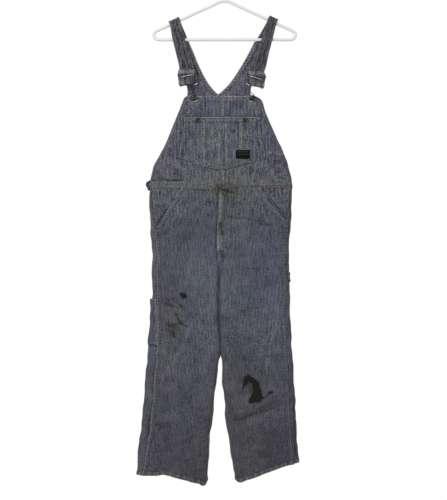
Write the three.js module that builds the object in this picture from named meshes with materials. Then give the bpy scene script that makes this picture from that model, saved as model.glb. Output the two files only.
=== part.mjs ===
// Striped denim bib overalls, worn and paint spattered, hung by their straps on a white tubular hanger.
// Millimetres. +X is the viewer's right, -Y faces the viewer and +Z is up.
// The origin is inside the top of the hanger's hook, where a rail carries it.
// Left and right are the viewer's. Outline sizes are those of the garment as it hangs flat.
import * as THREE from "three";
import { mergeVertices } from "three/addons/utils/BufferGeometryUtils.js";

// Driving sizes
const CLOTH = 1.6;
const GAP = 0.3;
const LIFT = 0.45;
const BIB_TOP = -373;
const WAIST = -645;
const KNEE = -1164;
const HEM = -1515;
const V_POINT = -366.6;
const BACK_TOP = -204;
const CENTRE_BIB = -6;
const STRAP_THICK = 2.4;
const TUBE_R = 4.5;
const HANGER = { apexZ: -79, slope: Math.tan((24.6 * Math.PI) / 180), reach: 203, barZ: -199.5 };
const BIB_BUTTON = { headR: 9, shankR: 5, z: -378 };
const WIRE_R = 1.3;
const CLUSTER = 0.5;

// The garment's outline from the front, and half its depth, at each height
const OUTLINE = [
  // z, left, right
  [-373, -115, 92],
  [-380, -122, 104],
  [-390, -127, 112],
  [-414, -136.5, 118.5],
  [-444, -148.5, 130.5],
  [-504, -172.5, 157.5],
  [-564, -202.5, 184.5],
  [-594, -214.5, 193.5],
  [-624, -220.5, 199.5],
  [-700, -226, 199.5],
  [-760, -224, 195],
  [-864, -218, 191],
  [-954, -217.5, 193.5],
  [-1044, -223.5, 196.5],
  [-1164, -232.5, 202],
  [-1284, -241.5, 208.5],
  [-1404, -256.5, 214.5],
  [-1464, -262, 219],
  [-1515, -263.5, 222],
];
const DEPTH = [
  // z, half depth, how far the sides turn in (0 none, 1 to the side seam), corner width
  [-204, 7, 0, 20],
  [-300, 9.5, 0, 20],
  [-373, 12, 0, 24],
  [-500, 15, 0.45, 28],
  [-600, 18, 0.85, 28],
  [-645, 19, 1, 28],
  [-760, 21, 1, 30],
  [-918, 22, 1, 32],
  [-1044, 21, 1, 34],
  [-1164, 19, 1, 38],
  [-1344, 17.5, 1, 38],
  [-1515, 17, 1, 34],
];
const INSEAM = [
  // z, left leg's inner edge, right leg's inner edge, turn in from 0 to 1, corner width
  [-645, -15, -15, 0, 4],
  [-864, -15, -15, 0, 4],
  [-890, -15.4, -15.2, 0.5, 12],
  [-918, -16.2, -15.8, 1, 26],
  [-984, -18.2, -17.8, 1, 28],
  [-1074, -15.2, -14.8, 1, 28],
  [-1134, -12.2, -11.8, 1, 28],
  [-1152, -12.6, -11.2, 1, 28],
  [-1168, -17.5, -7, 1, 28],
  [-1224, -25.5, -6.5, 1, 28],
  [-1284, -33, -1.5, 1, 28],
  [-1344, -39, 2, 1, 28],
  [-1404, -46, 12, 1, 28],
  [-1464, -50, 21, 1, 28],
  [-1515, -51, 33, 1, 28],
];
const SIDE_SEAM = [
  // z, how far the side seam lies in from the left outline, and from the right
  [-645, 6, 3],
  [-700, 10, 3],
  [-772, 15, 4],
  [-820, 15, 8],
  [-966, 15, 8],
  [-1014, 18, 17],
  [-1119, 27, 14],
  [-1329, 27, 16],
  [-1446, 25, 15],
  [-1515, 14, 15],
];
const SLASH = [
  // z, x of the left pocket opening, x of the right one
  [-645, -130, 106.5],
  [-682, -152, 128],
  [-715, -171, 153],
  [-748, -190, 184.5],
  [-772, -204, 189],
];
const HEM_DROP = [
  // x, how far the front hem lies above the nominal hem, and the back hem
  [-263, 5, 5],
  [-232, 5, 5],
  [-180, 9, 4],
  [-111, 3, -8],
  [-73, -11, -25],
  [-62, -12, -26],
  [-51, -4, -10],
  [32, -3, -3],
  [46, -17, -17],
  [222, 44, 44],
];
const BACK_EDGE = [
  // z, left outer edge, left neck edge, right neck edge, right outer edge
  [-204, -147, -109, 94, 132],
  [-248, -137, -90, 73, 117],
  [-286, -127, -74.5, 48, 103],
  [-328, -116, -51.5, 20.5, 87],
  [-359, -112, -28.5, -8, 81],
  [-366.6, -113, -19.1, -18.7, 83],
  [-384, -117, -19.1, -18.7, 101],
  [-444, -140, -19.1, -18.7, 122],
  [-504, -165, -19.1, -18.7, 149],
  [-564, -195, -19.1, -18.7, 176],
  [-594, -207, -19.1, -18.7, 186],
  [-645, -217, -19.1, -18.7, 196],
];
const POCKET = [
  // z, left edge, right edge of the bib pocket
  [-434.5, -120, 106.5],
  [-474, -125, 109.5],
  [-525, -133.5, 118],
  [-547, -138, 124],
  [-557, -141, 124],
];
const POCKET_FOOT = [
  // x, z of the pocket's lower edge
  [-141, -558],
  [-93, -571],
  [-67.5, -583],
  [-15, -593],
  [17, -588],
  [57.6, -577],
  [97.5, -566],
  [124, -558],
];
const FLY = [
  // z, left folded edge, right stitched edge
  [-646.5, -17, 19.5],
  [-768, -22.5, 19.5],
  [-812, -21, 17],
  [-843, -19.5, 7],
  [-864, -17, -5],
  [-875, -14.5, -11],
];
const FOLDS = [
  // side, x0, z0, x1, z1, half width, height (a trough is negative)
  ["front", 30, -1343, 99, -1322, 22, -2.5],
  ["front", 99, -1322, 164, -1298, 22, -2.5],
  ["front", 40, -1306, 150, -1270, 26, 2.5],
  ["front", -104, -1056, -144, -1163, 26, 2.5],
  ["front", -144, -1163, -189, -1209, 22, 2],
  ["front", 60, -1156, 100, -1164, 24, -1.6],
  ["front", 97, -760, 140, -770, 22, -1.2],
  ["front", 166, -1032, 123, -1188, 24, -2],
  ["front", -88, -1074, -88, -1400, 24, -2],
  ["front", -150, -1370, -150, -1500, 26, 1.8],
  ["front", 100, -1380, 120, -1500, 26, 1.8],
  ["back", -120, -1180, -170, -1240, 26, 2.5],
  ["back", 70, -1150, 130, -1210, 26, 2.5],
  ["back", -110, -960, -60, -985, 24, -2],
  ["back", 40, -980, 90, -955, 24, -2],
  ["back", -150, -1300, -140, -1500, 28, 2],
  ["back", 110, -1280, 130, -1500, 28, -2],
];

const clamp = (v, lo, hi) => Math.min(hi, Math.max(lo, v));
const smooth = (v) => {
  const t = clamp(v, 0, 1);
  return t * t * (3 - 2 * t);
};

// A column of a table at a key, on a smooth curve through its rows that never overshoots
function at(table, column, key) {
  const down = table[0][0] > table[table.length - 1][0];
  const rows = down ? table : [...table].reverse();
  const k = clamp(key, rows[rows.length - 1][0], rows[0][0]);
  let i = 0;
  while (i < rows.length - 2 && k < rows[i + 1][0]) i += 1;
  const slope = (j) => (rows[j + 1][column] - rows[j][column]) / (rows[j + 1][0] - rows[j][0]);
  const tangent = (j) => {
    if (j === 0 || j === rows.length - 1) return slope(clamp(j, 0, rows.length - 2));
    const [before, after] = [slope(j - 1), slope(j)];
    return before * after <= 0 ? 0 : (2 * before * after) / (before + after);
  };
  const width = rows[i + 1][0] - rows[i][0];
  const t = (k - rows[i][0]) / width;
  const [a, b] = [rows[i][column], rows[i + 1][column]];
  const hermite = (2 * t ** 3 - 3 * t ** 2 + 1) * a + (3 * t ** 2 - 2 * t ** 3) * b;
  return hermite + width * ((t ** 3 - 2 * t ** 2 + t) * tangent(i) + (t ** 3 - t ** 2) * tangent(i + 1));
}

// Height of the folds at a place on the front or the back
function foldHeight(face, x, z) {
  let height = 0;
  for (const [side, x0, z0, x1, z1, half, rise] of FOLDS) {
    if (side !== face) continue;
    const [dx, dz] = [x1 - x0, z1 - z0];
    const t = clamp(((x - x0) * dx + (z - z0) * dz) / (dx * dx + dz * dz), 0, 1);
    const away = Math.hypot(x - x0 - t * dx, z - z0 - t * dz) / half;
    if (away < 1) height += rise * (1 - smooth(away));
  }
  return height;
}

const unit = ([a, b]) => [a / Math.hypot(a, b), b / Math.hypot(a, b)];
const blend = (a, b, t) => a.map((v, c) => v + t * (b[c] - v));

// Half of a level section, as points with outward directions from the outer side to the inner edge.
// hand is -1 on the left and 1 on the right; face is -1 on the front and 1 on the back.
function halfSection(z, hand, face, inner, innerTurn, innerWidth, start) {
  const outer = at(OUTLINE, hand < 0 ? 1 : 2, z);
  const [half, turn, width] = [at(DEPTH, 1, z), at(DEPTH, 2, z), at(DEPTH, 3, z)];
  const points = [];
  const corner = 14;
  const from = Math.asin(clamp(start, -1, 1));
  for (let i = 0; i <= corner; i += 1) {
    const a = from + ((Math.PI / 2 - from) * i) / corner;
    const x = outer - hand * width * (1 - Math.cos(a));
    const out = [hand * Math.max(turn, 0.01) * half * Math.cos(a), face * width * Math.sin(a)];
    points.push([x, face * half * (1 - turn + turn * Math.sin(a)), ...unit(out)]);
  }
  const flatEnd = inner + hand * innerWidth;
  for (let i = 1; i <= corner; i += 1) {
    const a = (Math.PI / 2) * (1 - i / corner);
    const x = flatEnd - hand * innerWidth * Math.cos(a);
    const out = [-hand * innerTurn * half * Math.cos(a), face * innerWidth * Math.sin(a)];
    const edge = innerTurn > 0 ? unit(out) : [0, face];
    points.push([x, face * half * (1 - innerTurn + innerTurn * Math.sin(a)), ...edge]);
  }
  return points;
}

// Cuts a polyline where it first passes an x on its way to its inner edge
function trimmed(points, hand, x) {
  const kept = [];
  points.forEach((p, i) => {
    const inside = hand < 0 ? p[0] >= x : p[0] <= x;
    if (inside && kept.length === 0 && i > 0) {
      const q = points[i - 1];
      const t = (x - q[0]) / (p[0] - q[0]);
      kept.push(blend(q, p, t));
    }
    if (inside) kept.push(p);
  });
  return kept;
}

// Ends a polyline where it passes an x on its way to its inner edge
const ended = (points, hand, x) => trimmed([...points].reverse(), -hand, x).reverse();

// Points along a polyline, closer together at its curved ends, each with its outward direction
function spaced(points, count, trimStart = GAP / 2, trimEnd = GAP / 2) {
  const lengths = [0];
  for (let i = 1; i < points.length; i += 1) {
    const step = Math.hypot(points[i][0] - points[i - 1][0], points[i][1] - points[i - 1][1]);
    lengths.push(lengths[i - 1] + step);
  }
  const total = lengths[lengths.length - 1];
  const place = (s) => {
    let i = 1;
    while (i < points.length - 1 && lengths[i] < s) i += 1;
    const t = (s - lengths[i - 1]) / Math.max(lengths[i] - lengths[i - 1], 1e-9);
    return blend(points[i - 1], points[i], t);
  };
  const row = [];
  for (let i = 0; i <= count; i += 1) {
    const u = i / count;
    const even = u - (CLUSTER * Math.sin(2 * Math.PI * u)) / (2 * Math.PI);
    const s = trimStart + (total - trimStart - trimEnd) * even;
    const [x, y, nx, ny] = place(s);
    row.push({ xy: [x, y], out: unit([nx, ny]), s, left: total - s });
  }
  return row;
}

// A closed wall of cloth from rows of points on its outer face and their outward directions
function wall(rows, thickness = CLOTH) {
  const [down, across] = [rows.length, rows[0].length];
  const positions = [];
  const thick = typeof thickness === "function" ? thickness : () => thickness;
  for (const layer of [0, 1]) {
    rows.forEach((row, r) =>
      row.forEach(({ p, n }) => positions.push(...p.map((v, c) => v - layer * thick(r) * n[c]))),
    );
  }
  const id = (layer, r, c) => layer * down * across + r * across + c;
  const faces = [];
  const quad = (a, b, c, d) => faces.push(a, b, c, a, c, d);
  for (let r = 0; r < down - 1; r += 1) {
    for (let c = 0; c < across - 1; c += 1) {
      quad(id(0, r, c), id(0, r + 1, c), id(0, r + 1, c + 1), id(0, r, c + 1));
      quad(id(1, r, c), id(1, r, c + 1), id(1, r + 1, c + 1), id(1, r + 1, c));
    }
  }
  const rim = [];
  for (let c = 0; c < across; c += 1) rim.push([0, c]);
  for (let r = 1; r < down; r += 1) rim.push([r, across - 1]);
  for (let c = across - 2; c >= 0; c -= 1) rim.push([down - 1, c]);
  for (let r = down - 2; r > 0; r -= 1) rim.push([r, 0]);
  rim.forEach(([r, c], i) => {
    const [r2, c2] = rim[(i + 1) % rim.length];
    quad(id(0, r, c), id(0, r2, c2), id(1, r2, c2), id(1, r, c));
  });
  return outward(positions, faces);
}

// An indexed geometry whose faces point out
function outward(positions, faces) {
  let volume = 0;
  const v = (i) => new THREE.Vector3(...positions.slice(3 * i, 3 * i + 3));
  for (let i = 0; i < faces.length; i += 3) {
    volume += v(faces[i]).dot(v(faces[i + 1]).cross(v(faces[i + 2])));
  }
  const turned = volume < 0 ? faces.map((_, i) => faces[i - (i % 3) + 2 - (i % 3)]) : faces;
  const geometry = new THREE.BufferGeometry();
  geometry.setAttribute("position", new THREE.Float32BufferAttribute(positions, 3));
  geometry.setIndex(turned);
  return geometry;
}

// Levels from one height to another, about a step apart
function levels(top, bottom, step) {
  const count = Math.max(1, Math.round((top - bottom) / step));
  return Array.from({ length: count + 1 }, (_, i) => top + ((bottom - top) * i) / count);
}

// Rows of a panel's outer face
function panelRows({ zs, columns, hand, face, edge, fold = true }) {
  return zs.map((z) =>
    spaced(edge(z), columns).map(({ xy, out, s, left }) => {
      const mask = fold ? smooth(Math.min(s, left) / 34) : 0;
      const side = face < 0 ? "front" : "back";
      const rise = mask * foldHeight(side, xy[0], z);
      const drop = smooth((KNEE - z) / (KNEE - HEM)) * at(HEM_DROP, face < 0 ? 1 : 2, xy[0]);
      const n = [out[0], out[1], 0];
      return { p: [xy[0] + rise * n[0], xy[1] + rise * n[1], z + drop], n };
    }),
  );
}

const seamStart = (z, hand) => {
  const inset = at(SIDE_SEAM, hand < 0 ? 1 : 2, z);
  return Math.sqrt(1 - (1 - inset / at(DEPTH, 3, z)) ** 2);
};

// Edge curves of the trouser panels
function frontEdge(z, hand) {
  const inner = at(INSEAM, hand < 0 ? 1 : 2, z);
  const whole = halfSection(z, hand, -1, inner, at(INSEAM, 3, z), at(INSEAM, 4, z), seamStart(z, hand));
  const slashEnd = SLASH[SLASH.length - 1][0];
  return z > slashEnd ? trimmed(whole, hand, at(SLASH, hand < 0 ? 1 : 2, z)) : whole;
}
function backEdge(z, hand) {
  const inner = at(INSEAM, hand < 0 ? 1 : 2, z);
  return halfSection(z, hand, 1, inner, at(INSEAM, 3, z), at(INSEAM, 4, z), -seamStart(z, hand));
}

// The bib's outer face at a place in its flat middle
const bibY = (z) => -at(DEPTH, 1, z);

// A flat overlay on the bib or the fronts: rows of left and right edges, columns between them
function overlay(zs, edges, columns, lift, thickness) {
  return wall(
    zs.map((z) =>
      Array.from({ length: columns + 1 }, (_, i) => {
        const [left, right, level = z] = edges(z);
        const x = left + ((right - left) * i) / columns;
        const height = typeof level === "function" ? level(x) : level;
        return { p: [x, bibY(height) - lift - thickness, height], n: [0, -1, 0] };
      }),
    ),
    thickness,
  );
}

// A turned piece about Y, its profile given as radius and height above the cloth
function turned(profile, x, y, z, sides) {
  const geometry = new THREE.LatheGeometry(profile.map(([r, h]) => new THREE.Vector2(r, h)), sides);
  geometry.deleteAttribute("normal");
  geometry.deleteAttribute("uv");
  const joined = mergeVertices(geometry, 1e-3);
  joined.rotateX(Math.PI);
  joined.translate(x, y, z);
  return outward([...joined.attributes.position.array], cleanFaces(joined));
}
function cleanFaces(geometry) {
  const index = [...geometry.index.array];
  const faces = [];
  for (let i = 0; i < index.length; i += 3) {
    const [a, b, c] = index.slice(i, i + 3);
    if (a !== b && b !== c && a !== c) faces.push(a, b, c);
  }
  return faces;
}

// A round bar along a curve
function bar(curve, radius, steps, sides) {
  const closed = curve.closed === true;
  const positions = [];
  const faces = [];
  const frames = curve.computeFrenetFrames(steps, closed);
  const rings = closed ? steps : steps + 1;
  for (let i = 0; i < rings; i += 1) {
    const centre = curve.getPointAt(i / steps);
    for (let j = 0; j < sides; j += 1) {
      const a = (2 * Math.PI * j) / sides;
      const p = centre.clone();
      p.addScaledVector(frames.normals[i], radius * Math.cos(a));
      p.addScaledVector(frames.binormals[i], radius * Math.sin(a));
      positions.push(...p.toArray());
    }
  }
  const id = (i, j) => (i % rings) * sides + (j % sides);
  for (let i = 0; i < (closed ? rings : rings - 1); i += 1) {
    for (let j = 0; j < sides; j += 1) {
      faces.push(id(i, j), id(i + 1, j), id(i + 1, j + 1));
      faces.push(id(i, j), id(i + 1, j + 1), id(i, j + 1));
    }
  }
  if (!closed) {
    for (let j = 1; j < sides - 1; j += 1) {
      faces.push(id(0, 0), id(0, j), id(0, j + 1));
      faces.push(id(rings - 1, 0), id(rings - 1, j + 1), id(rings - 1, j));
    }
  }
  return outward(positions, faces);
}

// A flat strap along stations of [x, y, z, width, tilt of its width in degrees]
function strap(stations, thickness, steps) {
  const curve = new THREE.CatmullRomCurve3(stations.map((s) => new THREE.Vector3(s[0], s[1], s[2])));
  const rows = [];
  for (let i = 0; i <= steps; i += 1) {
    const t = i / steps;
    const k = Math.min(Math.floor(t * (stations.length - 1)), stations.length - 2);
    const f = t * (stations.length - 1) - k;
    const mix = (c) => stations[k][c] + (stations[k + 1][c] - stations[k][c]) * f;
    const centre = curve.getPoint(t);
    const along = curve.getTangent(t);
    const tilt = (mix(4) * Math.PI) / 180;
    const across = new THREE.Vector3(Math.cos(tilt), 0, Math.sin(tilt));
    const out = new THREE.Vector3().crossVectors(along, across).normalize();
    rows.push(
      [-0.5, 0.5].map((side) => {
        const p = centre.clone().addScaledVector(across, side * mix(3));
        p.addScaledVector(out, thickness / 2);
        return { p: p.toArray(), n: out.toArray() };
      }),
    );
  }
  return wall(rows, thickness);
}

const COLOURS = {
  denim: ["#54545f", 0.92, 0],
  denimDark: ["#454651", 0.92, 0],
  inner: ["#6a6973", 0.92, 0],
  plastic: ["#eceae4", 0.4, 0],
  pewter: ["#8d8f8c", 0.45, 0.8],
  brass: ["#3f3d2c", 0.5, 0.7],
  label: ["#15140f", 0.8, 0],
};
const part = new THREE.Group();
function add(name, geometry, colour) {
  const [color, roughness, metalness] = COLOURS[colour];
  const piece = new THREE.Mesh(geometry, new THREE.MeshStandardMaterial({ color, roughness, metalness }));
  piece.name = name;
  part.add(piece);
}
const SIDES = [
  ["left", -1],
  ["right", 1],
];

// Trouser fronts and backs, a doubled hem at their foot
const legLevels = [
  ...levels(WAIST - GAP, -773, 16),
  ...levels(-804, -860, 28),
  ...levels(-876, -924, 16),
  ...levels(-948, HEM, 27),
];
const panels = {};
const hemWall = (r) => (r >= legLevels.length - 2 ? 2 * CLOTH : CLOTH);
for (const [name, hand] of SIDES) {
  const front = panelRows({
    zs: legLevels,
    columns: 10,
    hand,
    face: -1,
    edge: (z) => frontEdge(z, hand),
  });
  add(`front_${name}`, wall(front, hemWall), "denim");
  const back = panelRows({ zs: legLevels, columns: 11, hand, face: 1, edge: (z) => backEdge(z, hand) });
  add(`back_${name}`, wall(back, hemWall), "denimDark");
  panels[`back_${name}`] = back;
}

// Hip facings, seen behind the slash pocket openings
for (const [name, hand] of SIDES) {
  const under = 9;
  const rows = levels(WAIST - GAP, -772, 18).map((z) => {
    const whole = halfSection(z, hand, -1, 0, 0, 4, seamStart(z, hand));
    const cut = ended(whole, hand, at(SLASH, hand < 0 ? 1 : 2, z) - hand * under);
    return spaced(cut, 8).map(({ xy, out }) => {
      const inside = CLOTH + 0.9;
      return { p: [xy[0] - inside * out[0], xy[1] - inside * out[1], z], n: [out[0], out[1], 0] };
    });
  });
  add(`hip_facing_${name}`, wall(rows), "denimDark");
}

// Bib halves, the felled waist seam on their foot and the felled centre seam
const bibLevels = [BIB_TOP, -380, -390, ...levels(-414, -627, 31), WAIST];
for (const [name, hand] of SIDES) {
  const half = (z) => halfSection(z, hand, -1, CENTRE_BIB, 0, 4, 0);
  const rows = panelRows({ zs: bibLevels, columns: 9, hand, face: -1, edge: half, fold: false });
  add(`bib_${name}`, wall(rows), "denim");
  const seam = rows.slice(-2).map((row) =>
    row.map(({ p, n }) => ({ p: p.map((v, c) => v + (LIFT + CLOTH) * n[c]), n })),
  );
  add(`waist_seam_${name}`, wall(seam), "denim");
}
const SEAM_STRIP = [CENTRE_BIB - 4.5, CENTRE_BIB + 4.5];
add("bib_seam_upper", overlay(levels(-374, -433, 30), () => SEAM_STRIP, 1, LIFT, 1.2), "denim");
add("bib_seam_lower", overlay([-595, -625], () => SEAM_STRIP, 1, LIFT, 1.2), "denim");

// Bib pocket, label and the flat buttons on the pocket
const [pocketTop, pocketCorner] = [POCKET[0][0], POCKET[4][0]];
const pocketPiece = wall(
  levels(0, -1, 1 / 7).map((down) =>
    Array.from({ length: 11 }, (_, i) => {
      const beside = pocketTop + (pocketTop - pocketCorner) * down;
      const [left, right] = [at(POCKET, 1, beside), at(POCKET, 2, beside)];
      const x = left + ((right - left) * i) / 10;
      const z = pocketTop + (pocketTop - at(POCKET_FOOT, 1, x)) * down;
      return { p: [x, bibY(z) - LIFT - CLOTH, z], n: [0, -1, 0] };
    }),
  ),
);
add("bib_pocket", pocketPiece, "denim");
const onPocket = LIFT + CLOTH + GAP;
add("label", overlay([-534, -560], () => [34.5, 76.5], 1, onPocket, 0.9), "label");
const pocketButton = [
  [0, 0],
  [4, 0],
  [4, 1.2],
  [7.5, 1.6],
  [7.5, 2.8],
  [5.5, 3.6],
  [0, 3.8],
];
for (const [name, x] of [["left", -79.5], ["right", 62.4]]) {
  add(`pocket_button_${name}`, turned(pocketButton, x, bibY(-444) - onPocket, -444, 14), "brass");
}
const bibButton = [
  [0, 0],
  [BIB_BUTTON.shankR, 0],
  [BIB_BUTTON.shankR, 4.2],
  [BIB_BUTTON.headR, 4.4],
  [BIB_BUTTON.headR, 6],
  [6.5, 7.2],
  [0, 7.5],
];

// Fly flap over the centre front
const flyRow = (z) => [at(FLY, 1, z), at(FLY, 2, z)];
add("fly", overlay([...levels(FLY[0][0], -860, 27), FLY[5][0]], flyRow, 4, LIFT, CLOTH), "denim");

// Bands along the slash pocket openings
for (const [name, hand] of SIDES) {
  const width = 13;
  const rows = levels(WAIST - 3, -768, 14).map((z) => {
    const opening = at(SLASH, hand < 0 ? 1 : 2, z);
    const whole = halfSection(z, hand, -1, 0, 0, 4, 0);
    const cut = ended(trimmed(whole, hand, opening), hand, opening - hand * width);
    return spaced(cut, 3, 0, 0).map(({ xy, out }) => {
      const above = LIFT + 0.1 + 1.2;
      return { p: [xy[0] + above * out[0], xy[1] + above * out[1], z], n: [out[0], out[1], 0] };
    });
  });
  add(`pocket_band_${name}`, wall(rows, 1.2), "denim");
}

// The high back, whose two points run up into the straps
const backLevels = [
  ...levels(BACK_TOP, -328, 31),
  ...[-347, -359, V_POINT],
  ...levels(-384, -594, 35),
  ...[-627, WAIST],
];
for (const [name, hand] of SIDES) {
  const [outerColumn, innerColumn] = hand < 0 ? [1, 2] : [4, 3];
  const rows = backLevels.map((z) => {
    const [outer, inner] = [at(BACK_EDGE, outerColumn, z), at(BACK_EDGE, innerColumn, z)];
    const flat = [outer, inner].map((x) => [x, at(DEPTH, 1, z), 0, 1]);
    const bent = z < BIB_TOP ? trimmed(halfSection(z, hand, 1, inner, 0, 4, 0), hand, outer) : flat;
    return spaced(bent, 8, 0, 0).map(({ xy, out }) => ({
      p: [xy[0], xy[1], z],
      n: [out[0], out[1], 0],
    }));
  });
  add(`back_bib_${name}`, wall(rows), "inner");
}

// Side pocket on the left back panel, and the tool loop on the right one
const sidePocketRows = legLevels.flatMap((z, r) => {
  if (z > -970 || z < -1120) return [];
  const above = LIFT + CLOTH + 2.5 * smooth((z + 1010) / 32);
  return [panels.back_left[r].slice(0, 6).map(({ p, n }) => ({ p: p.map((v, c) => v + above * n[c]), n }))];
});
add("side_pocket", wall(sidePocketRows), "denimDark");
const loopRows = [0, 24].map((drop) =>
  Array.from({ length: 10 }, (_, i) => {
    const u = i / 9;
    const z = -898 - drop - 34 * u;
    const { xy, out } = spaced(backEdge(z, 1), 30)[1 + i];
    const above = LIFT + CLOTH + 3.6 * Math.sin(Math.PI * u);
    return { p: [xy[0] + above * out[0], xy[1] + above * out[1], z], n: [out[0], out[1], 0] };
  }),
);
add("tool_loop", wall(loopRows), "denimDark");

// Waist tab beside the left opening
const tab = new THREE.Shape();
tab.moveTo(-221.6, -622);
tab.lineTo(-236, -630);
tab.lineTo(-238, -636);
tab.lineTo(-230, -655);
tab.lineTo(-224.2, -655);
const tabPiece = new THREE.ExtrudeGeometry(tab, { depth: 4, bevelEnabled: false });
tabPiece.rotateX(Math.PI / 2);
tabPiece.translate(0, 4, 0);
tabPiece.deleteAttribute("normal");
tabPiece.deleteAttribute("uv");
const tabMerged = mergeVertices(tabPiece, 1e-3);
add("waist_tab", outward([...tabMerged.attributes.position.array], cleanFaces(tabMerged)), "denimDark");

// Straps: down the back, over the hanger's arm, through the slide, round the wire loop and back up
const armZ = (x) => HANGER.apexZ - HANGER.slope * Math.abs(x);
const STRAPS = {
  left: {
    over: -149.5,
    tilt: 24.6,
    width: 34,
    back: -127.6,
    // x, z, width, tilt of the front run
    path: [[-138.3, -198, 36, 14], [-125, -246, 40, 13], [-115.5, -281, 42, 9]],
    slide: { x: -113.4, z: -314, tilt: 8 },
    button: -93,
  },
  right: {
    over: 143.8,
    tilt: -24.6,
    width: 29,
    back: 112.7,
    path: [[128.7, -198, 32, -17], [116.5, -240, 35, -14], [104.5, -284, 40, -9]],
    slide: { x: 97.8, z: -319, tilt: -12 },
    button: 83.4,
  },
};
const wrapR = TUBE_R + GAP + 0.15 + STRAP_THICK / 2;
for (const [name, hand] of SIDES) {
  const { over, tilt, width, back, path, button } = STRAPS[name];
  const { x: slide, z: z0, tilt: slideTilt } = STRAPS[name].slide;
  const a = (tilt * Math.PI) / 180;
  const up = [-Math.sin(a), Math.cos(a)];
  const centre = [over, armZ(over)];
  const stations = [[back, at(DEPTH, 1, BACK_TOP) - CLOTH / 2, BACK_TOP + GAP, 37.5, 0]];
  stations.push([(back + over) / 2, wrapR + 0.1, (BACK_TOP + centre[1]) / 2, width + 1, tilt]);
  for (const turn of [0, 45, 90, 135, 180]) {
    const t = (turn * Math.PI) / 180;
    const rise = wrapR * Math.sin(t);
    stations.push([centre[0] + rise * up[0], wrapR * Math.cos(t), centre[1] + rise * up[1], width, tilt]);
  }
  const lean = [-6.9, -9, -11.2];
  path.forEach(([x, z, wide, angle], i) => stations.push([x, lean[i], z, wide, angle]));
  // Height on the slide and depth of the run that goes over, under and over its three bars and back up
  const weave = [
    [24, -12.4],
    [19.5, -17.2],
    [15, -17.8],
    [11, -16.9],
    [6, -12],
    [2, -11.2],
    [-2, -12],
    [-7, -16.9],
    [-13, -17.8],
    [-18.5, -17.4],
    [-22.3, -13],
    [-19, -8.8],
    [-12, -8.2],
    [0, -8.2],
    [12, -8.2],
  ];
  for (const [dz, y] of weave) stations.push([slide, y, z0 + dz, 41, slideTilt]);
  add(`strap_${name}`, strap(stations, STRAP_THICK, 72), "denim");

  const frame = new THREE.Shape();
  const [w, h, rim, middleBar] = [27, 17, 3.5, 2];
  frame.moveTo(-w + 3, -h);
  frame.lineTo(w - 3, -h);
  frame.lineTo(w, -h + 3);
  frame.lineTo(w, h - 3);
  frame.lineTo(w - 3, h);
  frame.lineTo(-w + 3, h);
  frame.lineTo(-w, h - 3);
  frame.lineTo(-w, -h + 3);
  for (const [low, high] of [[rim - h, middleBar - 1.5], [middleBar + 1.5, h - rim]]) {
    const hole = new THREE.Path();
    hole.moveTo(-w + rim, low);
    hole.lineTo(-w + rim, high);
    hole.lineTo(w - rim, high);
    hole.lineTo(w - rim, low);
    frame.holes.push(hole);
  }
  const slideGeometry = new THREE.ExtrudeGeometry(frame, { depth: 2.4, bevelEnabled: false });
  slideGeometry.rotateX(Math.PI / 2);
  slideGeometry.rotateY((-slideTilt * Math.PI) / 180);
  slideGeometry.translate(slide, -13.2, z0);
  slideGeometry.deleteAttribute("normal");
  slideGeometry.deleteAttribute("uv");
  const merged = mergeVertices(slideGeometry, 1e-3);
  add(`slide_${name}`, outward([...merged.attributes.position.array], cleanFaces(merged)), "pewter");

  const buttonY = bibY(BIB_BUTTON.z) - GAP;
  add(`bib_button_${name}`, turned(bibButton, button, buttonY, BIB_BUTTON.z, 14), "brass");
  const loopY = buttonY - 2.3;
  const ring = BIB_BUTTON.shankR + GAP + WIRE_R + 0.3;
  const wireTop = z0 - 19.3;
  const wireRise = 27 * Math.tan((slideTilt * Math.PI) / 180);
  const neck = -356;
  const wire = [
    [slide - 26.5, -12.9, wireTop - wireRise],
    [slide, -12.9, wireTop],
    [slide + 26.5, -12.9, wireTop + wireRise],
    [slide + 25, -12.9, wireTop + wireRise - 6],
    [button + 6, loopY + 0.6, neck],
    [button + 5, loopY, neck - 12],
    ...[-10, -40, -70, -110, -140, -170].map((degrees) => {
      const t = (degrees * Math.PI) / 180;
      return [button + ring * Math.cos(t), loopY, BIB_BUTTON.z + ring * Math.sin(t)];
    }),
    [button - 5, loopY, neck - 12],
    [button - 6, loopY + 0.6, neck],
    [slide - 25, -12.9, wireTop - wireRise - 6],
  ].map((p) => new THREE.Vector3(...p));
  const wireCurve = new THREE.CatmullRomCurve3(wire, true, "catmullrom", 0.4);
  add(`wire_${name}`, bar(wireCurve, WIRE_R, 46, 6), "pewter");
}

// Hanger: arms, rounded ends and the bar in one tube, and its hook
const armEnd = armZ(HANGER.reach);
const corners = [
  [-12, armZ(12)],
  [-HANGER.reach + 10, armZ(HANGER.reach - 10)],
  [-HANGER.reach - 6, armEnd - 3.5],
  [-HANGER.reach - 11, armEnd - 13],
  [-HANGER.reach - 4, HANGER.barZ + 2.4],
  [-HANGER.reach + 12, HANGER.barZ],
];
const tubePoints = corners.map(([x, z]) => new THREE.Vector3(x, 0, z));
const mirrored = [...corners].reverse().map(([x, z]) => new THREE.Vector3(-x, 0, z));
const run = (a, b, n) => Array.from({ length: n }, (_, i) => a.clone().lerp(b, (i + 1) / (n + 1)));
const tubeLoop = [
  ...tubePoints.slice(0, 1),
  ...run(tubePoints[0], tubePoints[1], 5),
  ...tubePoints.slice(1),
  ...run(tubePoints[5], mirrored[0], 9),
  ...mirrored.slice(0, 5),
  ...run(mirrored[4], mirrored[5], 5),
  mirrored[5],
];
const tubeCurve = new THREE.CatmullRomCurve3(tubeLoop, true, "catmullrom", 0.5);
add("hanger_frame", bar(tubeCurve, TUBE_R, 64, 8), "plastic");
const hookR = 21;
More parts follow.
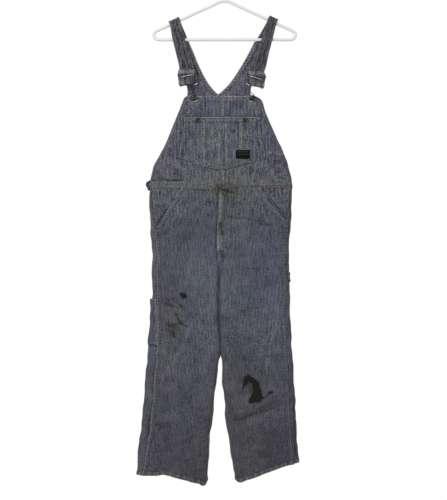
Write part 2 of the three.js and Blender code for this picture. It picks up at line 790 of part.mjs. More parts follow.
const hookPoints = [new THREE.Vector3(0, 0, HANGER.apexZ + 0.9), new THREE.Vector3(0, 0, -52)];
for (let degrees = -62; degrees <= 172; degrees += 18) {
  const t = (degrees * Math.PI) / 180;
  const reach = hookR + 3.5;
  hookPoints.push(new THREE.Vector3(reach * Math.cos(t), 0, -hookR + reach * Math.sin(t)));
}
add("hanger_hook", bar(new THREE.CatmullRomCurve3(hookPoints, false, "centripetal"), 3.5, 26, 8), "plastic");

export default part;
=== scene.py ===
# Worn striped denim bib overalls, paint spattered, hung by their straps on a white tubular hanger.
# The scene is in metres and the tables are in millimetres. +Z is up and -Y faces the viewer.
# Left and right are the viewer's.
import math

import bmesh
import bpy
import numpy as np
from mathutils import Matrix, Vector, noise
from mathutils.bvhtree import BVHTree


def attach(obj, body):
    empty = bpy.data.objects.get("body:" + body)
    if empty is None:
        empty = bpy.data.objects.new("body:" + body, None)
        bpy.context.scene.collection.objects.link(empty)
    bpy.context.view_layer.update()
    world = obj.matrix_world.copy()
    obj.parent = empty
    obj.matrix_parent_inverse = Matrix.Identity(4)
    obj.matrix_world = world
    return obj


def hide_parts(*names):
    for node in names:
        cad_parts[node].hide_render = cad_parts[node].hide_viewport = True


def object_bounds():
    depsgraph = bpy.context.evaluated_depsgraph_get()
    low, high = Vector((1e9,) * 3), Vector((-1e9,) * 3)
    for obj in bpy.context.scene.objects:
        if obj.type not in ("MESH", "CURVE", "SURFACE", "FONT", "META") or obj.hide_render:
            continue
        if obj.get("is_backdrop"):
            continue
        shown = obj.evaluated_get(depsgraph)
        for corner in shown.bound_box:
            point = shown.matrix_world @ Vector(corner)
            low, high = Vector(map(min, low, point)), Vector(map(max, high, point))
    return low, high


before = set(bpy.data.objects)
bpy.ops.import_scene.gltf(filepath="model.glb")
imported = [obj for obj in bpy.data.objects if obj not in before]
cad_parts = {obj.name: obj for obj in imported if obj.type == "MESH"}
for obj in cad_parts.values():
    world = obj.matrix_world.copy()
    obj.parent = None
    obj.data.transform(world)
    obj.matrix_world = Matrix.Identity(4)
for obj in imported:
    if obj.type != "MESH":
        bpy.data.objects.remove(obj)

CAD_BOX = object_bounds()
MM = 0.001

# Outline of the garment seen from the front: z, left, right
OUTLINE = [
    (-371, -115, 93),
    (-378, -122, 106),
    (-388, -126.5, 114.5),
    (-414, -136.5, 122),
    (-444, -148.7, 134),
    (-504, -173.3, 161.3),
    (-564, -203.7, 186.6),
    (-594, -216.5, 196.6),
    (-624, -223.4, 202.4),
    (-700, -226.6, 203.1),
    (-760, -224, 199.1),
    (-864, -218.2, 194.4),
    (-914, -219, 196),
    (-954, -218.4, 196.8),
    (-1044, -223, 199.5),
    (-1164, -234.5, 206.2),
    (-1284, -243.6, 213),
    (-1344, -248.6, 216),
    (-1404, -256.7, 217.5),
    (-1464, -263, 221.6),
    (-1515, -265.5, 224.5),
]
# z, half depth, how far the sides turn in, corner width
DEPTH = [
    (-204, 7, 0, 20),
    (-300, 9.5, 0, 20),
    (-373, 12, 0, 24),
    (-500, 15, 0.45, 28),
    (-600, 18, 0.85, 28),
    (-645, 19, 1, 28),
    (-760, 21, 1, 30),
    (-918, 22, 1, 32),
    (-1044, 21, 1, 34),
    (-1164, 19, 1, 38),
    (-1344, 17.5, 1, 38),
    (-1515, 17, 1, 34),
]
# z, left leg's inner edge, right leg's inner edge, turn in, corner width
INSEAM = [
    (-645, -15, -15, 0, 4),
    (-864, -15, -15, 0, 4),
    (-890, -15.4, -15.2, 0.5, 12),
    (-918, -16.2, -15.8, 1, 12),
    (-984, -18.2, -17.8, 1, 12),
    (-1074, -15.2, -14.8, 1, 12),
    (-1134, -12.2, -11.8, 1, 12),
    (-1152, -12.6, -11.2, 1, 16),
    (-1168, -17.5, -7, 1, 16),
    (-1224, -24.3, -6.3, 1, 16),
    (-1284, -31.4, 0, 1, 16),
    (-1344, -37.2, 4.2, 1, 20),
    (-1404, -45.6, 14.2, 1, 20),
    (-1464, -48.6, 24, 1, 20),
    (-1515, -51.5, 31.5, 1, 20),
]
# z, how far the side seam lies in from the left outline, and from the right
SIDE_SEAM = [
    (-645, 6, 5.5),
    (-700, 10, 6),
    (-772, 15, 7.5),
    (-820, 15, 11.5),
    (-966, 15, 11.5),
    (-1014, 18, 20),
    (-1119, 28, 17.5),
    (-1329, 28, 20),
    (-1446, 26, 18),
    (-1515, 16, 17.5),
]
# z, x of the left pocket opening, x of the right one
SLASH = [
    (-645, -130, 106.5),
    (-682, -152, 128),
    (-715, -171, 153),
    (-748, -190, 184.5),
    (-772, -204, 189),
]
# x, how far the front hem lies above the nominal hem, and the back hem
HEM_DROP = [
    (-265, 4.5, 4.5),
    (-240, 2.7, 3.2),
    (-204, 2.7, 4),
    (-186, 5.5, 6),
    (-168, 2.5, 4),
    (-150, -3, -2),
    (-132, -7.7, -5),
    (-114, -12, -9),
    (-96, -17.7, -14),
    (-78, -21, -19),
    (-66, -27.5, -24),
    (-58, -26, -24),
    (-50, -12, -11),
    (30, -9, -8),
    (40, -16, -14),
    (48, -17.5, -15),
    (66, -10.8, -9),
    (84, -5.8, -4),
    (102, 0.8, 3),
    (120, 8.5, 11),
    (138, 14.7, 17),
    (156, 21.5, 24),
    (174, 28.3, 31),
    (192, 33.7, 36),
    (210, 36.8, 39),
    (226, 39, 41),
]
# z, left outer edge, left neck edge, right neck edge, right outer edge
BACK_EDGE = [
    (-204, -147, -107.5, 90.5, 132),
    (-226, -142, -98, 79.5, 125),
    (-248, -137, -89, 68, 117),
    (-286, -127, -72.7, 45.4, 103),
    (-328, -116, -49.8, 16.6, 86),
    (-355, -112, -28, -9, 78),
    (-363.5, -113, -19.1, -18.7, 79),
    (-384, -117, -19.1, -18.7, 101),
    (-444, -140, -19.1, -18.7, 124),
    (-504, -165, -19.1, -18.7, 152),
    (-564, -195, -19.1, -18.7, 178),
    (-594, -207, -19.1, -18.7, 189),
    (-645, -219, -19.1, -18.7, 199),
]
# z, left and right edge of the bib pocket
POCKET = [
    (-434.5, -120, 106.5),
    (-474, -125, 109.5),
    (-525, -133.5, 118),
    (-547, -138, 124),
    (-557, -141, 124),
]
# x, z of the pocket's lower edge
POCKET_FOOT = [
    (-141, -558),
    (-93, -571),
    (-67.5, -583),
    (-15, -593),
    (17, -588),
    (57.6, -577),
    (97.5, -566),
    (124, -558),
]
# z, left folded edge, right stitched edge
FLY = [
    (-646.5, -17, 19.5),
    (-700, -17.8, 19.5),
    (-735, -20, 19.5),
    (-768, -23, 19.5),
    (-812, -22.6, 17),
    (-843, -19.5, 7),
    (-864, -17, -5),
    (-875, -14.5, -11),
]
BIB_TOP = -371
WAIST = -645
KNEE = -1164
HEM = -1515
V_POINT = -363.5
BACK_TOP = -204
CENTRE_BIB = -6
SLASH_END = -772
GAP = 0.3
LIFT = 0.45
CLOTH = 1.2

# Creases, listed: face, points along it, half width, height (a trough is negative)
CREASES = [
    ("front", [(30, -1343), (66, -1334), (99, -1322), (132, -1312), (164, -1298)], 17, -3.4),
    ("front", [(30, -1343), (66, -1335), (99, -1323), (132, -1313), (160, -1300)], 6, -1.3),
    ("front", [(40, -1306), (90, -1298), (150, -1270)], 26, 2.6),
    ("front", [(46, -1362), (104, -1345), (156, -1320)], 18, 2.6),
    ("front", [(-104, -1056), (-122, -1110), (-144, -1163), (-189, -1209)], 24, 2.6),
    ("front", [(-112, -1062), (-134, -1112), (-158, -1165), (-196, -1200)], 10, -1.3),
    ("front", [(34, -1152), (66, -1162), (95, -1164)], 12, -1.4),
    ("front", [(80, -1168), (102, -1171), (122, -1166)], 9, 1.1),
    ("front", [(13, -735), (44, -740), (77, -732)], 10, -0.9),
    ("front", [(97, -748), (118, -757), (140, -760)], 10, -1.1),
    ("front", [(76, -886), (104, -893), (134, -887)], 10, -1.0),
    ("front", [(166, -1032), (138, -1105), (123, -1188)], 22, -2.2),
    ("front", [(150, -1040), (126, -1108), (112, -1180)], 10, 1.1),
    ("front", [(-88, -1074), (-84, -1240), (-90, -1400)], 24, -2.0),
    ("front", [(-66, -1100), (-62, -1240), (-70, -1360)], 15, 1.0),
    ("front", [(-213, -1356), (-190, -1354), (-168, -1358)], 8, -1.0),
    ("front", [(-102, -1394), (-82, -1390), (-63, -1396)], 8, -0.9),
    ("front", [(-225, -1345), (-228, -1366), (-231, -1388)], 7, -1.6),
    ("front", [(-150, -1370), (-146, -1440), (-150, -1500)], 24, 1.8),
    ("front", [(100, -1380), (112, -1440), (120, -1500)], 24, 1.8),
    ("front", [(-26, -890), (-66, -925), (-120, -944)], 15, -1.2),
    ("front", [(-24, -868), (-70, -892), (-118, -900)], 11, 0.8),
    ("front", [(-4, -886), (40, -914), (86, -930)], 14, -1.1),
    ("front", [(-46, -700), (-70, -742), (-78, -800)], 14, 0.9),
    ("front", [(60, -676), (70, -712), (64, -760)], 13, 0.8),
    ("front", [(-150, -806), (-128, -850), (-132, -900)], 16, 0.9),
    ("front", [(160, -800), (150, -850), (156, -905)], 14, -0.8),
    ("front", [(-190, -985), (-160, -1004), (-128, -1008)], 12, -0.9),
    ("front", [(44, -985), (76, -1006), (112, -1008)], 12, -0.9),
    ("front", [(-196, -1246), (-150, -1262), (-104, -1254)], 14, 0.9),
    ("front", [(20, -1222), (62, -1240), (108, -1232)], 13, -1.0),
    ("front", [(-176, -1300), (-132, -1322), (-90, -1316)], 12, -0.9),
    ("front", [(170, -1392), (186, -1430), (180, -1468)], 10, -0.9),
    ("front", [(-104, -384), (-108, -414), (-116, -446)], 9, 0.7),
    ("front", [(-84, -386), (-78, -412), (-82, -430)], 8, 0.6),
    ("front", [(76, -386), (70, -412), (74, -430)], 8, 0.6),
    ("front", [(92, -384), (100, -414), (106, -444)], 9, 0.7),
    ("front", [(-190, -600), (-130, -606), (-84, -602)], 11, -0.9),
    ("front", [(90, -598), (136, -606), (178, -600)], 11, -0.9),
    ("front", [(-170, -520), (-166, -552), (-178, -590)], 10, 0.8),
    ("back", [(-120, -1180), (-146, -1206), (-170, -1240)], 24, 2.5),
    ("back", [(-110, -1150), (-136, -1176), (-166, -1200)], 12, -1.4),
    ("back", [(70, -1150), (98, -1184), (130, -1210)], 24, 2.5),
    ("back", [(60, -1176), (90, -1212), (126, -1236)], 12, -1.4),
    ("back", [(-110, -960), (-84, -976), (-60, -985)], 22, -2.0),
    ("back", [(40, -980), (66, -972), (90, -955)], 22, -2.0),
    ("back", [(-126, -990), (-90, -1010), (-52, -1014)], 14, 1.4),
    ("back", [(40, -1012), (78, -1006), (112, -986)], 14, 1.4),
    ("back", [(-150, -1300), (-144, -1400), (-140, -1500)], 26, 2.0),
    ("back", [(110, -1280), (120, -1390), (130, -1500)], 26, -2.0),
    ("back", [(-180, -900), (-150, -924), (-118, -930)], 13, -1.1),
    ("back", [(120, -900), (146, -918), (170, -920)], 13, -1.1),
    ("back", [(-188, -1086), (-150, -1120), (-100, -1130)], 12, -1.0),
    ("back", [(24, -1094), (70, -1112), (120, -1108)], 12, 1.0),
    ("back", [(-120, -1336), (-160, -1352), (-200, -1350)], 11, -1.0),
    ("back", [(60, -1330), (104, -1352), (150, -1350)], 11, 1.1),
    ("back", [(-60, -700), (-54, -760), (-66, -820)], 16, -1.0),
    ("back", [(60, -700), (52, -770), (62, -830)], 16, 0.9),
    ("back", [(-150, -700), (-160, -760), (-150, -830)], 15, 0.9),
    ("back", [(-84, -420), (-78, -490), (-90, -560)], 15, 0.9),
    ("back", [(50, -430), (60, -500), (52, -580)], 15, -0.9),
    ("back", [(-130, -600), (-80, -612), (-34, -606)], 12, -0.8),
    ("back", [(20, -604), (80, -614), (140, -604)], 12, -0.8),
]
# Spattered paint as round-ended strokes: kind, face, x0, z0, x1, z1, radius at each end
PAINT = [
    ("black", "front", 71, -1209, 69, -1217, 3, 8),
    ("black", "front", 74, -1216, 80, -1226, 7, 8),
    ("black", "front", 66, -1219, 62, -1233, 8.5, 7.5),
    ("black", "front", 60, -1238, 57, -1246, 5, 3),
    ("black", "front", 57, -1246, 53, -1262, 2.2, 1.8),
    ("black", "front", 84, -1224, 97, -1238, 8, 9),
    ("black", "front", 94, -1238, 98, -1258, 11, 12),
    ("black", "front", 98, -1260, 99, -1280, 14, 13),
    ("black", "front", 98, -1282, 78, -1289, 10, 6),
    ("black", "front", 90, -1270, 78, -1284, 8, 6),
    ("black", "front", 106, -1262, 114, -1279, 5, 4),
    ("black", "front", 116, -1281, 130, -1271, 1.8, 2.2),
    ("black", "front", 134, -1263, 144, -1260, 4.6, 3.8),
    ("black", "front", 88, -1293, 89, -1304, 1.6, 1.0),
    ("black", "front", -130, -967, -118, -973, 5.5, 6.5),
    ("black", "front", -122, -963, -120, -968, 3, 4),
    ("black", "front", -127, -973, -125, -980, 4, 2),
    ("black", "front", -169, -981, -166, -987, 2.2, 1.8),
    ("black", "front", -156, -980, -154, -984, 2.2, 1.8),
    ("black", "front", -174, -994, -166, -999, 2.4, 1.4),
    ("black", "front", -158, -1000, -150, -1002, 1.8, 1.2),
    ("black", "front", -133, -999, -130, -1004, 2.6, 1.8),
    ("black", "front", -145, -1026, -142, -1033, 2.6, 2.2),
    ("black", "front", -141, -1036, -136, -1048, 1.8, 2.6),
    ("black", "front", -136, -1048, -128, -1056, 2.8, 3.2),
    ("black", "front", -128, -1056, -116, -1062, 2.4, 1.4),
    ("black", "front", -128, -1050, -118, -1047, 1.4, 1.2),
    ("black", "front", -154, -1080, -150, -1094, 2.2, 3.0),
    ("black", "front", -168, -1060, -146, -1056, 1.8, 1.2),
    ("black", "front", 34, -1182, 36, -1186, 1.6, 1.2),
    ("black", "front", -206, -1120, -204, -1123, 1.8, 1.2),
    ("black", "back", -150, -1090, -146, -1096, 5, 4),
    ("black", "back", -118, -1132, -112, -1138, 3, 2),
    ("black", "back", 92, -1310, 96, -1322, 6, 3),
    ("black", "back", 60, -1010, 62, -1014, 3, 2),
    ("green", "front", 18, -390, 18.5, -404, 2.6, 3),
    ("green", "front", 23, -394, 23, -418, 2.2, 2.2),
    ("green", "front", -16, -472, -12, -478, 2.6, 2),
    ("green", "front", 10, -428, 12, -432, 2, 1.6),
    ("green", "front", -200, -616, -178, -620, 4, 3.4),
    ("green", "front", -206, -699, -182, -703, 5, 4),
    ("green", "front", 162, -616, 184, -621, 4.4, 3.4),
    ("green", "front", 168, -693, 194, -686, 3, 2.6),
    ("green", "front", -108, -692, -102, -695, 3, 2),
    ("green", "back", -70, -700, -50, -704, 4, 3),
    ("green", "back", 90, -760, 96, -770, 4, 2.4),
    ("brown", "front", -13, -755, -6, -788, 5, 6),
    ("brown", "front", -24, -640, 18, -636, 5, 5),
    ("brown", "front", -22, -654, 16, -654, 5, 4),
    ("black", "front", -8, -651, 8, -655, 2.4, 1.6),
    ("black", "front", 2, -658, 24, -661, 2.0, 1.4),
    ("brown", "front", 0, -664, 10, -682, 5, 4),
    ("black", "front", -20, -646, -12, -650, 1.8, 1.4),
    ("brown", "front", -14, -838, -6, -858, 4, 5),
    ("brown", "front", -170, -1058, -150, -1066, 9, 11),
    ("brown", "front", -168, -1070, -154, -1084, 8, 9),
    ("brown", "front", -108, -1030, -112, -1036, 7, 7),
    ("brown", "front", -178, -998, -150, -1002, 6, 5),
    ("brown", "front", 70, -1232, 82, -1268, 9, 8),
    ("brown", "front", -72, -440, -70, -560, 5, 4),
    ("brown", "front", -204, -772, -196, -790, 3, 4),
]
# Patches of colour, some of them painted shade and light about the creases: face, x, z, half width, half height, red,
# green and blue change
PATCHES = [
    ("front", 0, -1440, 300, 230, -0.12, -0.17, -0.2),
    ("front", 0, -1490, 300, 110, -0.08, -0.1, -0.12),
    ("back", 0, -1440, 300, 230, -0.12, -0.16, -0.18),
    ("front", 130, -1440, 90, 100, -0.1, -0.1, -0.08),
    ("front", -10, -640, 240, 60, 0.03, 0.04, -0.09),
    ("front", 0, -500, 100, 90, 0.02, 0.05, -0.02),
    ("front", 60, -740, 110, 60, 0.0, 0.04, -0.08),
    ("front", -130, -700, 70, 60, 0.0, 0.05, 0.02),
    ("front", -140, -860, 90, 80, 0.0, -0.04, 0.0),
    ("front", 110, -860, 80, 70, -0.02, -0.05, 0.04),
    ("front", -60, -890, 60, 70, 0.03, 0.06, 0.07),
    ("front", 90, -1000, 110, 90, -0.02, 0.05, 0.07),
    ("front", 150, -1130, 60, 80, 0.0, 0.05, 0.06),
    ("front", -120, -1130, 36, 60, 0.03, 0.05, 0.04),
    ("front", -140, -1030, 56, 90, -0.05, -0.08, -0.16),
    ("front", -150, -1260, 60, 70, -0.04, -0.06, -0.05),
    # Painted light below the shin crease and painted shade above it
    ("front", 110, -1340, 90, 30, 0.1, 0.08, 0.08),
    ("front", 120, -1306, 60, 16, -0.16, -0.15, -0.13),
    ("front", 84, -1240, 50, 50, -0.08, -0.1, -0.12),
    ("front", 114, -1442, 24, 12, -0.16, -0.17, -0.16),
    ("front", 128, -1452, 10, 5, -0.25, -0.25, -0.24),
    ("front", -160, -540, 50, 80, 0.02, -0.02, 0.02),
    ("front", 150, -540, 50, 90, 0.02, -0.02, 0.04),
    ("front", -60, -410, 60, 26, -0.04, -0.02, 0.06),
    ("front", 50, -410, 50, 26, -0.04, -0.02, 0.06),
    ("front", -10, -650, 40, 26, 0.06, 0.02, -0.16),
    ("back", 0, -800, 190, 110, 0.09, 0.09, 0.09),
    ("back", -120, -1160, 80, 80, 0.07, 0.07, 0.07),
    ("back", 110, -1160, 80, 80, 0.07, 0.07, 0.07),
    ("inside", 0, -330, 260, 200, 0.1, 0.06, 0.08),
    ("front", -128, -250, 46, 90, -0.14, -0.17, -0.19),
    ("front", 114, -250, 46, 90, -0.26, -0.29, -0.29),
    ("front", -118, -884, 36, 48, 0.15, 0.2, 0.12),
    ("front", 66, -900, 42, 46, 0.15, 0.2, 0.13),
    ("front", -112, -1290, 20, 110, -0.14, -0.03, 0.06),
    ("front", -95, -1060, 18, 90, -0.06, 0.0, 0.07),
    ("front", 161, -1404, 36, 56, -0.09, -0.09, -0.08),
    ("front", 122, -1284, 32, 20, -0.12, -0.11, -0.08),
    # Painted shade in the crease across the left shin
    ("front", -203, -1359, 22, 10, -0.16, -0.15, -0.13),
    ("front", -96, -404, 26, 20, 0.06, -0.02, 0.01),
    ("front", -200, -664, 24, 16, 0.1, 0.1, 0.0),
    ("front", -206, -800, 10, 44, -0.16, -0.14, -0.14),
    ("front", 181, -985, 16, 70, 0.05, -0.02, -0.07),
    ("front", -68, -544, 36, 34, 0.12, 0.12, 0.06),
    ("front", -28, -980, 15, 110, 0.1, 0.1, 0.16),
    ("front", -140, -780, 40, 50, -0.1, -0.14, -0.14),
    ("front", 20, -770, 36, 40, -0.04, -0.04, 0.02),
    ("front", 0, -1300, 260, 190, 0.03, 0.0, -0.05),
    ("back", -196, -1085, 24, 22, 0.05, 0.1, 0.12),
]

# Dark lines along seams, folds and creases: painted shade in the troughs beside seams, under ledges and in creases, and
# real grime at the waist stain: face, width, strength, points along it
SHADE_AND_GRIME_LINES = [
    ("front", 2.6, 0.6, [(-135, -424), (-83, -386)]),
    ("front", 2.4, 0.5, [(105, -414), (78, -394)]),
    ("front", 3.0, 1.0, [(-219, -625), (-180, -624), (-126, -625)]),
    ("front", 2.4, 0.4, [(-190, -646), (-130, -647)]),
    ("front", 2.6, 0.6, [(30, -648), (110, -641), (197, -640)]),
    ("front", 2.0, 0.6, [(-1.5, -655), (-0.5, -690), (-2, -744)]),
    ("front", 3.6, 0.9, [(-8, -640), (10, -652), (16, -662)]),
    ("front", 3.0, 0.8, [(-22, -640), (-10, -652), (-4, -664)]),
    ("front", 4.2, 0.75, [(-12, -752), (-6, -790)]),
    ("front", 3.4, 0.6, [(-12, -832), (-4, -850), (-8, -866)]),
    ("front", 2.0, 1.0, [(-19.8, -652), (-20.4, -700), (-22.6, -738), (-25.6, -765), (-25.4, -830), (-21, -864)]),
    ("front", 4.0, 0.85, [(-176, -714), (-190, -736), (-204, -756)]),
    ("front", 4.0, 0.85, [(-222, -624), (-236, -636), (-228, -652)]),
    ("front", 2.2, 0.6, [(-207.5, -954), (-207.5, -1119), (-211, -1167), (-217, -1239), (-224, -1329)]),
    ("front", 2.2, 0.8, [(-220, -776), (-216, -800), (-221, -826), (-215, -850), (-219, -880)]),
    ("front", 3.6, 0.5, [(14, -733), (40, -739), (62, -737), (84, -744)]),
    ("front", 3.6, 0.35, [(40, -882), (76, -890), (104, -887), (134, -892)]),
    ("front", 2.0, 0.5, [(-12, -896), (-14, -984), (-13, -1074), (-11, -1130)]),
    ("front", 3.0, 0.7, [(117, -650), (150, -694), (186, -743)]),
    ("front", 2.0, 1.0, [(-57, -440), (-56.4, -562)]),
    ("front", 1.8, 0.6, [(46.4, -440), (46.8, -532)]),
    ("front", 1.8, 0.8, [(55.4, -440), (55.8, -532)]),
    ("front", 1.6, 0.7, [(-7.5, -380), (-7.5, -432)]),
    ("front", 2.0, 0.5, [(11.5, -460), (12, -562)]),
    ("front", 2.0, 1.0, [(40.2, -440), (40.6, -532)]),
    ("front", 1.8, 0.6, [(98.5, -440), (99.5, -500), (109, -523)]),
    ("front", 2.0, 0.6, [(108.5, -440), (110, -496), (119, -520), (124, -545)]),
    ("front", 4.5, 0.35, [(-110, -560), (-64, -576), (-24, -588)]),
    ("front", 2.2, 0.5, [(-118, -438), (-60, -437.5), (104, -437)]),
    ("front", 2.2, 0.4, [(-118, -452), (-60, -452), (104, -452)]),
    ("front", 2.0, 0.5, [(-11.8, -386), (-11.8, -432)]),
    ("front", 2.0, 0.5, [(-0.6, -386), (-0.6, -432)]),
    ("front", 2.0, 0.5, [(-11.8, -598), (-11.8, -626)]),
    ("front", 2.0, 0.5, [(-0.6, -598), (-0.6, -626)]),
    # Painted shade in the shin crease and in a wide band above it
    ("front", 3.4, 0.75, [(30, -1343), (58, -1339), (99, -1323), (126, -1316), (160, -1300)]),
    ("front", 9.0, 0.22, [(40, -1334), (72, -1324), (104, -1312), (134, -1302), (156, -1292)]),
    ("front", 2.4, 0.35, [(-112, -1062), (-134, -1112), (-158, -1165), (-190, -1202)]),
    ("front", 2.4, 0.4, [(34, -1154), (66, -1164), (95, -1166)]),
    ("front", 3.4, 0.5, [(97, -750), (118, -755), (140, -761)]),
    ("front", 3.0, 0.3, [(166, -1032), (138, -1105), (123, -1188)]),
    # Painted shade along the back's outline edge and under the side pocket's foot
    ("back", 3.2, 1.0, [(-224, -1340), (-228, -1366), (-231, -1392)]),
    ("back", 2.6, 0.9, [(-227, -1121), (-202, -1121)]),
    ("front", 2.4, 0.7, [(-105, -652.5), (-40, -654)]),
    ("front", 2.2, 0.3, [(-213, -1356), (-190, -1354), (-168, -1358)]),
    ("front", 2.2, 0.3, [(-102, -1394), (-82, -1390), (-63, -1396)]),
    ("front", 5.0, 0.85, [(-214, -946), (-213, -958), (-214, -976)]),
    # Painted shade along the right leg's outline edge
    ("back", 2.6, 0.9, [(206, -1270), (208, -1300), (210, -1370), (213, -1455)]),
    ("front", 13.0, 0.36, [(-200, -640), (0, -640), (190, -636)]),
    ("front", 9.0, 0.38, [(-110, -560), (-64, -572), (-20, -582), (40, -574), (90, -560)]),
    ("front", 5.0, 0.5, [(6, -662), (11, -676), (8, -694)]),
    ("front", 2.6, 0.8, [(-2, -655), (14, -658), (27, -661)]),
    ("front", 30, 0.16, [(-196, -790), (-150, -770), (-116, -786)]),
]

# Worn stitch lines, and a few lines of painted light that lift the shadow under the waist band's ledge: face, width,
# strength, length of one light and dark turn, points along it
WORN_AND_LIT_LINES = [
    ("front", 1.8, 1.0, 9, [(-61.4, -438), (-61, -570)]),
    ("front", 1.6, 0.75, 8, [(44.4, -438), (45, -536)]),
    ("front", 1.6, 0.8, 8, [(50, -438), (50.6, -536)]),
    ("front", 1.6, 0.8, 7, [(7.5, -459), (8, -562)]),
    ("front", 3.0, 0.3, 11, [(-19, -440), (-19, -588)]),
    ("front", 3.4, 0.25, 13, [(-33, -440), (-35, -530)]),
    ("front", 1.7, 0.7, 8, [(-110, -372.4), (74, -372.4)]),
    ("front", 1.6, 0.15, 7, [(-112, -384), (86, -384)]),
    ("front", 1.7, 0.9, 7, [(-4.2, -376), (-4.2, -432)]),
    ("front", 1.6, 0.7, 9, [(-10.6, -376), (-10.6, -432)]),
    ("front", 2.2, 0.65, 8, [(-3, -598), (-3, -626)]),
    ("front", 2.2, 0.65, 8, [(-9.6, -598), (-9.6, -626)]),
    ("front", 1.6, 0.55, 6, [(-45, -402), (-24, -399), (-8.7, -404)]),
    ("front", 1.8, 0.6, 7, [(-83, -384), (-137, -424)]),
    ("front", 1.8, 0.6, 7, [(79.5, -392), (107.7, -412)]),
    ("front", 1.8, 0.12, 8, [(-116, -448.5), (100, -448.5)]),
    ("front", 2.2, 0.8, 9, [(103, -440), (104, -498), (113, -523), (119, -549)]),
    ("front", 1.8, 0.2, 11, [(-117, -440), (-121, -480), (-132, -540)]),
    ("front", 2.0, 0.35, 17, [(-88, -574), (-62, -582), (-20, -590), (16, -588), (52, -577)]),
    ("front", 9.0, 0.3, 5, [(-110, -560), (-62, -572), (-20, -580), (20, -578), (60, -568)]),
    ("front", 13.0, 0.34, 5, [(-205, -634), (-100, -636), (100, -630), (192, -626)]),
    ("front", 2.6, 1.0, 60, [(-87, -565), (-84, -566)]),
    ("front", 2.4, 1.0, 60, [(-48, -576), (-46, -578)]),
    ("front", 2.4, 0.9, 60, [(48, -578), (52, -579)]),
    ("front", 2.2, 0.9, 60, [(137, -541), (139, -542)]),
    ("front", 2.0, 1.0, 10, [(-178, -643.5), (-126, -644)]),
    # Painted light: these lines just below the waist band lighten the shadow that its ledge casts
    ("front", 2.6, 0.75, 9, [(-211, -649), (-126, -649)]),
    ("front", 2.4, 0.85, 8, [(-105, -648), (-34, -648.5)]),
    ("front", 2.4, 0.95, 8, [(46, -648), (126, -649)]),
    ("front", 2.8, 0.55, 9, [(120, -649), (198, -647)]),
    ("front", 2.0, 0.6, 6, [(20, -633), (120, -632)]),
    ("front", 2.2, 0.5, 7, [(-212, -632), (-60, -633)]),
    ("front", 5.0, 0.35, 4, [(-210, -690), (-186, -706)]),
    ("front", 2.0, 0.7, 11, [(60, -638), (120, -637.5), (197, -635)]),
    ("front", 2.0, 0.8, 10, [(195, -646), (194, -690), (191, -758)]),
    ("front", 2.4, 0.9, 15, [(-214, -776), (-208, -830), (-203, -884)]),
    ("front", 3.2, 0.42, 23, [(-12, -664), (-11, -700), (-13, -748)]),
    ("front", 2.6, 0.45, 19, [(-10, -790), (-9, -832)]),
    ("front", 2.2, 0.95, 23, [(-19.6, -780), (-19.4, -836)]),
    ("front", 3.0, 0.6, 19, [(-15, -684), (-12, -722)]),
    ("front", 1.8, 0.6, 9, [(-19, -1092), (-17, -1134)]),
    ("front", 1.6, 0.25, 12, [(18, -672), (17, -706)]),
    ("front", 1.8, 0.5, 9, [(-142, -1146), (-152, -1166), (-160, -1176)]),
    ("front", 2.4, 0.6, 7, [(160, -1040), (139, -1106), (124, -1190)]),
    ("front", 1.8, 0.4, 7, [(-106, -1070), (-124, -1130), (-172, -1190)]),
]


def smooth(value):
    t = np.clip(value, 0.0, 1.0)
    return t * t * (3 - 2 * t)


def lookup(table, column, keys):
    """A column of a table at some keys, on a smooth curve that never overshoots its rows."""
    rows = sorted(table)
    xs = np.array([row[0] for row in rows], float)
    ys = np.array([row[column] for row in rows], float)
    slopes = np.diff(ys) / np.diff(xs)
    tangents = np.concatenate(([slopes[0]], np.zeros(len(xs) - 2), [slopes[-1]]))
    low, high = slopes[:-1], slopes[1:]
    turning = low * high > 0
    tangents[1:-1] = np.where(turning, 2 * low * high / np.where(turning, low + high, 1), 0)
    k = np.clip(np.asarray(keys, float), xs[0], xs[-1])
    i = np.clip(np.searchsorted(xs, k, side="right") - 1, 0, len(xs) - 2)
    width = xs[i + 1] - xs[i]
    t = (k - xs[i]) / width
    value = (2 * t**3 - 3 * t**2 + 1) * ys[i] + (3 * t**2 - 2 * t**3) * ys[i + 1]
    value = value + width * ((t**3 - 2 * t**2 + t) * tangents[i] + (t**3 - t**2) * tangents[i + 1])
    return float(value) if np.ndim(keys) == 0 else value


def wavy(z, hand):
    """How far the worn seams pull the sides in and out."""
    pull = math.sin(z / 17 + 2 * hand) + 0.7 * math.sin(z / 7.3 + hand) * math.sin(z / 61 + hand)
    return 1.1 * pull * float(smooth((-400 - z) / 200))


def section(z, hand, face, inner, inner_turn, inner_width, start):
    """Half of a level section of the garment: x, y and outward direction from its outer side to its inner edge."""
    outer = lookup(OUTLINE, 1 if hand < 0 else 2, z) + hand * wavy(z, hand)
    half, turn, width = (lookup(DEPTH, c, z) for c in (1, 2, 3))
    a = np.linspace(math.asin(max(-1, min(1, start))), math.pi / 2, 19)
    x = outer - hand * width * (1 - np.cos(a))
    y = face * half * (1 - turn + turn * np.sin(a))
    nx = hand * max(turn, 0.01) * half * np.cos(a)
    ny = face * width * np.sin(a)
    b = math.pi / 2 * (1 - np.arange(1, 19) / 18)
    x2 = inner + hand * inner_width * (1 - np.cos(b))
    y2 = face * half * (1 - inner_turn + inner_turn * np.sin(b))
    nx2 = -hand * inner_turn * half * np.cos(b)
    ny2 = face * inner_width * np.sin(b) if inner_turn > 0 else np.full_like(b, face)
    points = np.stack([np.r_[x, x2], np.r_[y, y2], np.r_[nx, nx2], np.r_[ny, ny2]], axis=1)
    points[:, 2:] /= np.linalg.norm(points[:, 2:], axis=1)[:, None]
    return points


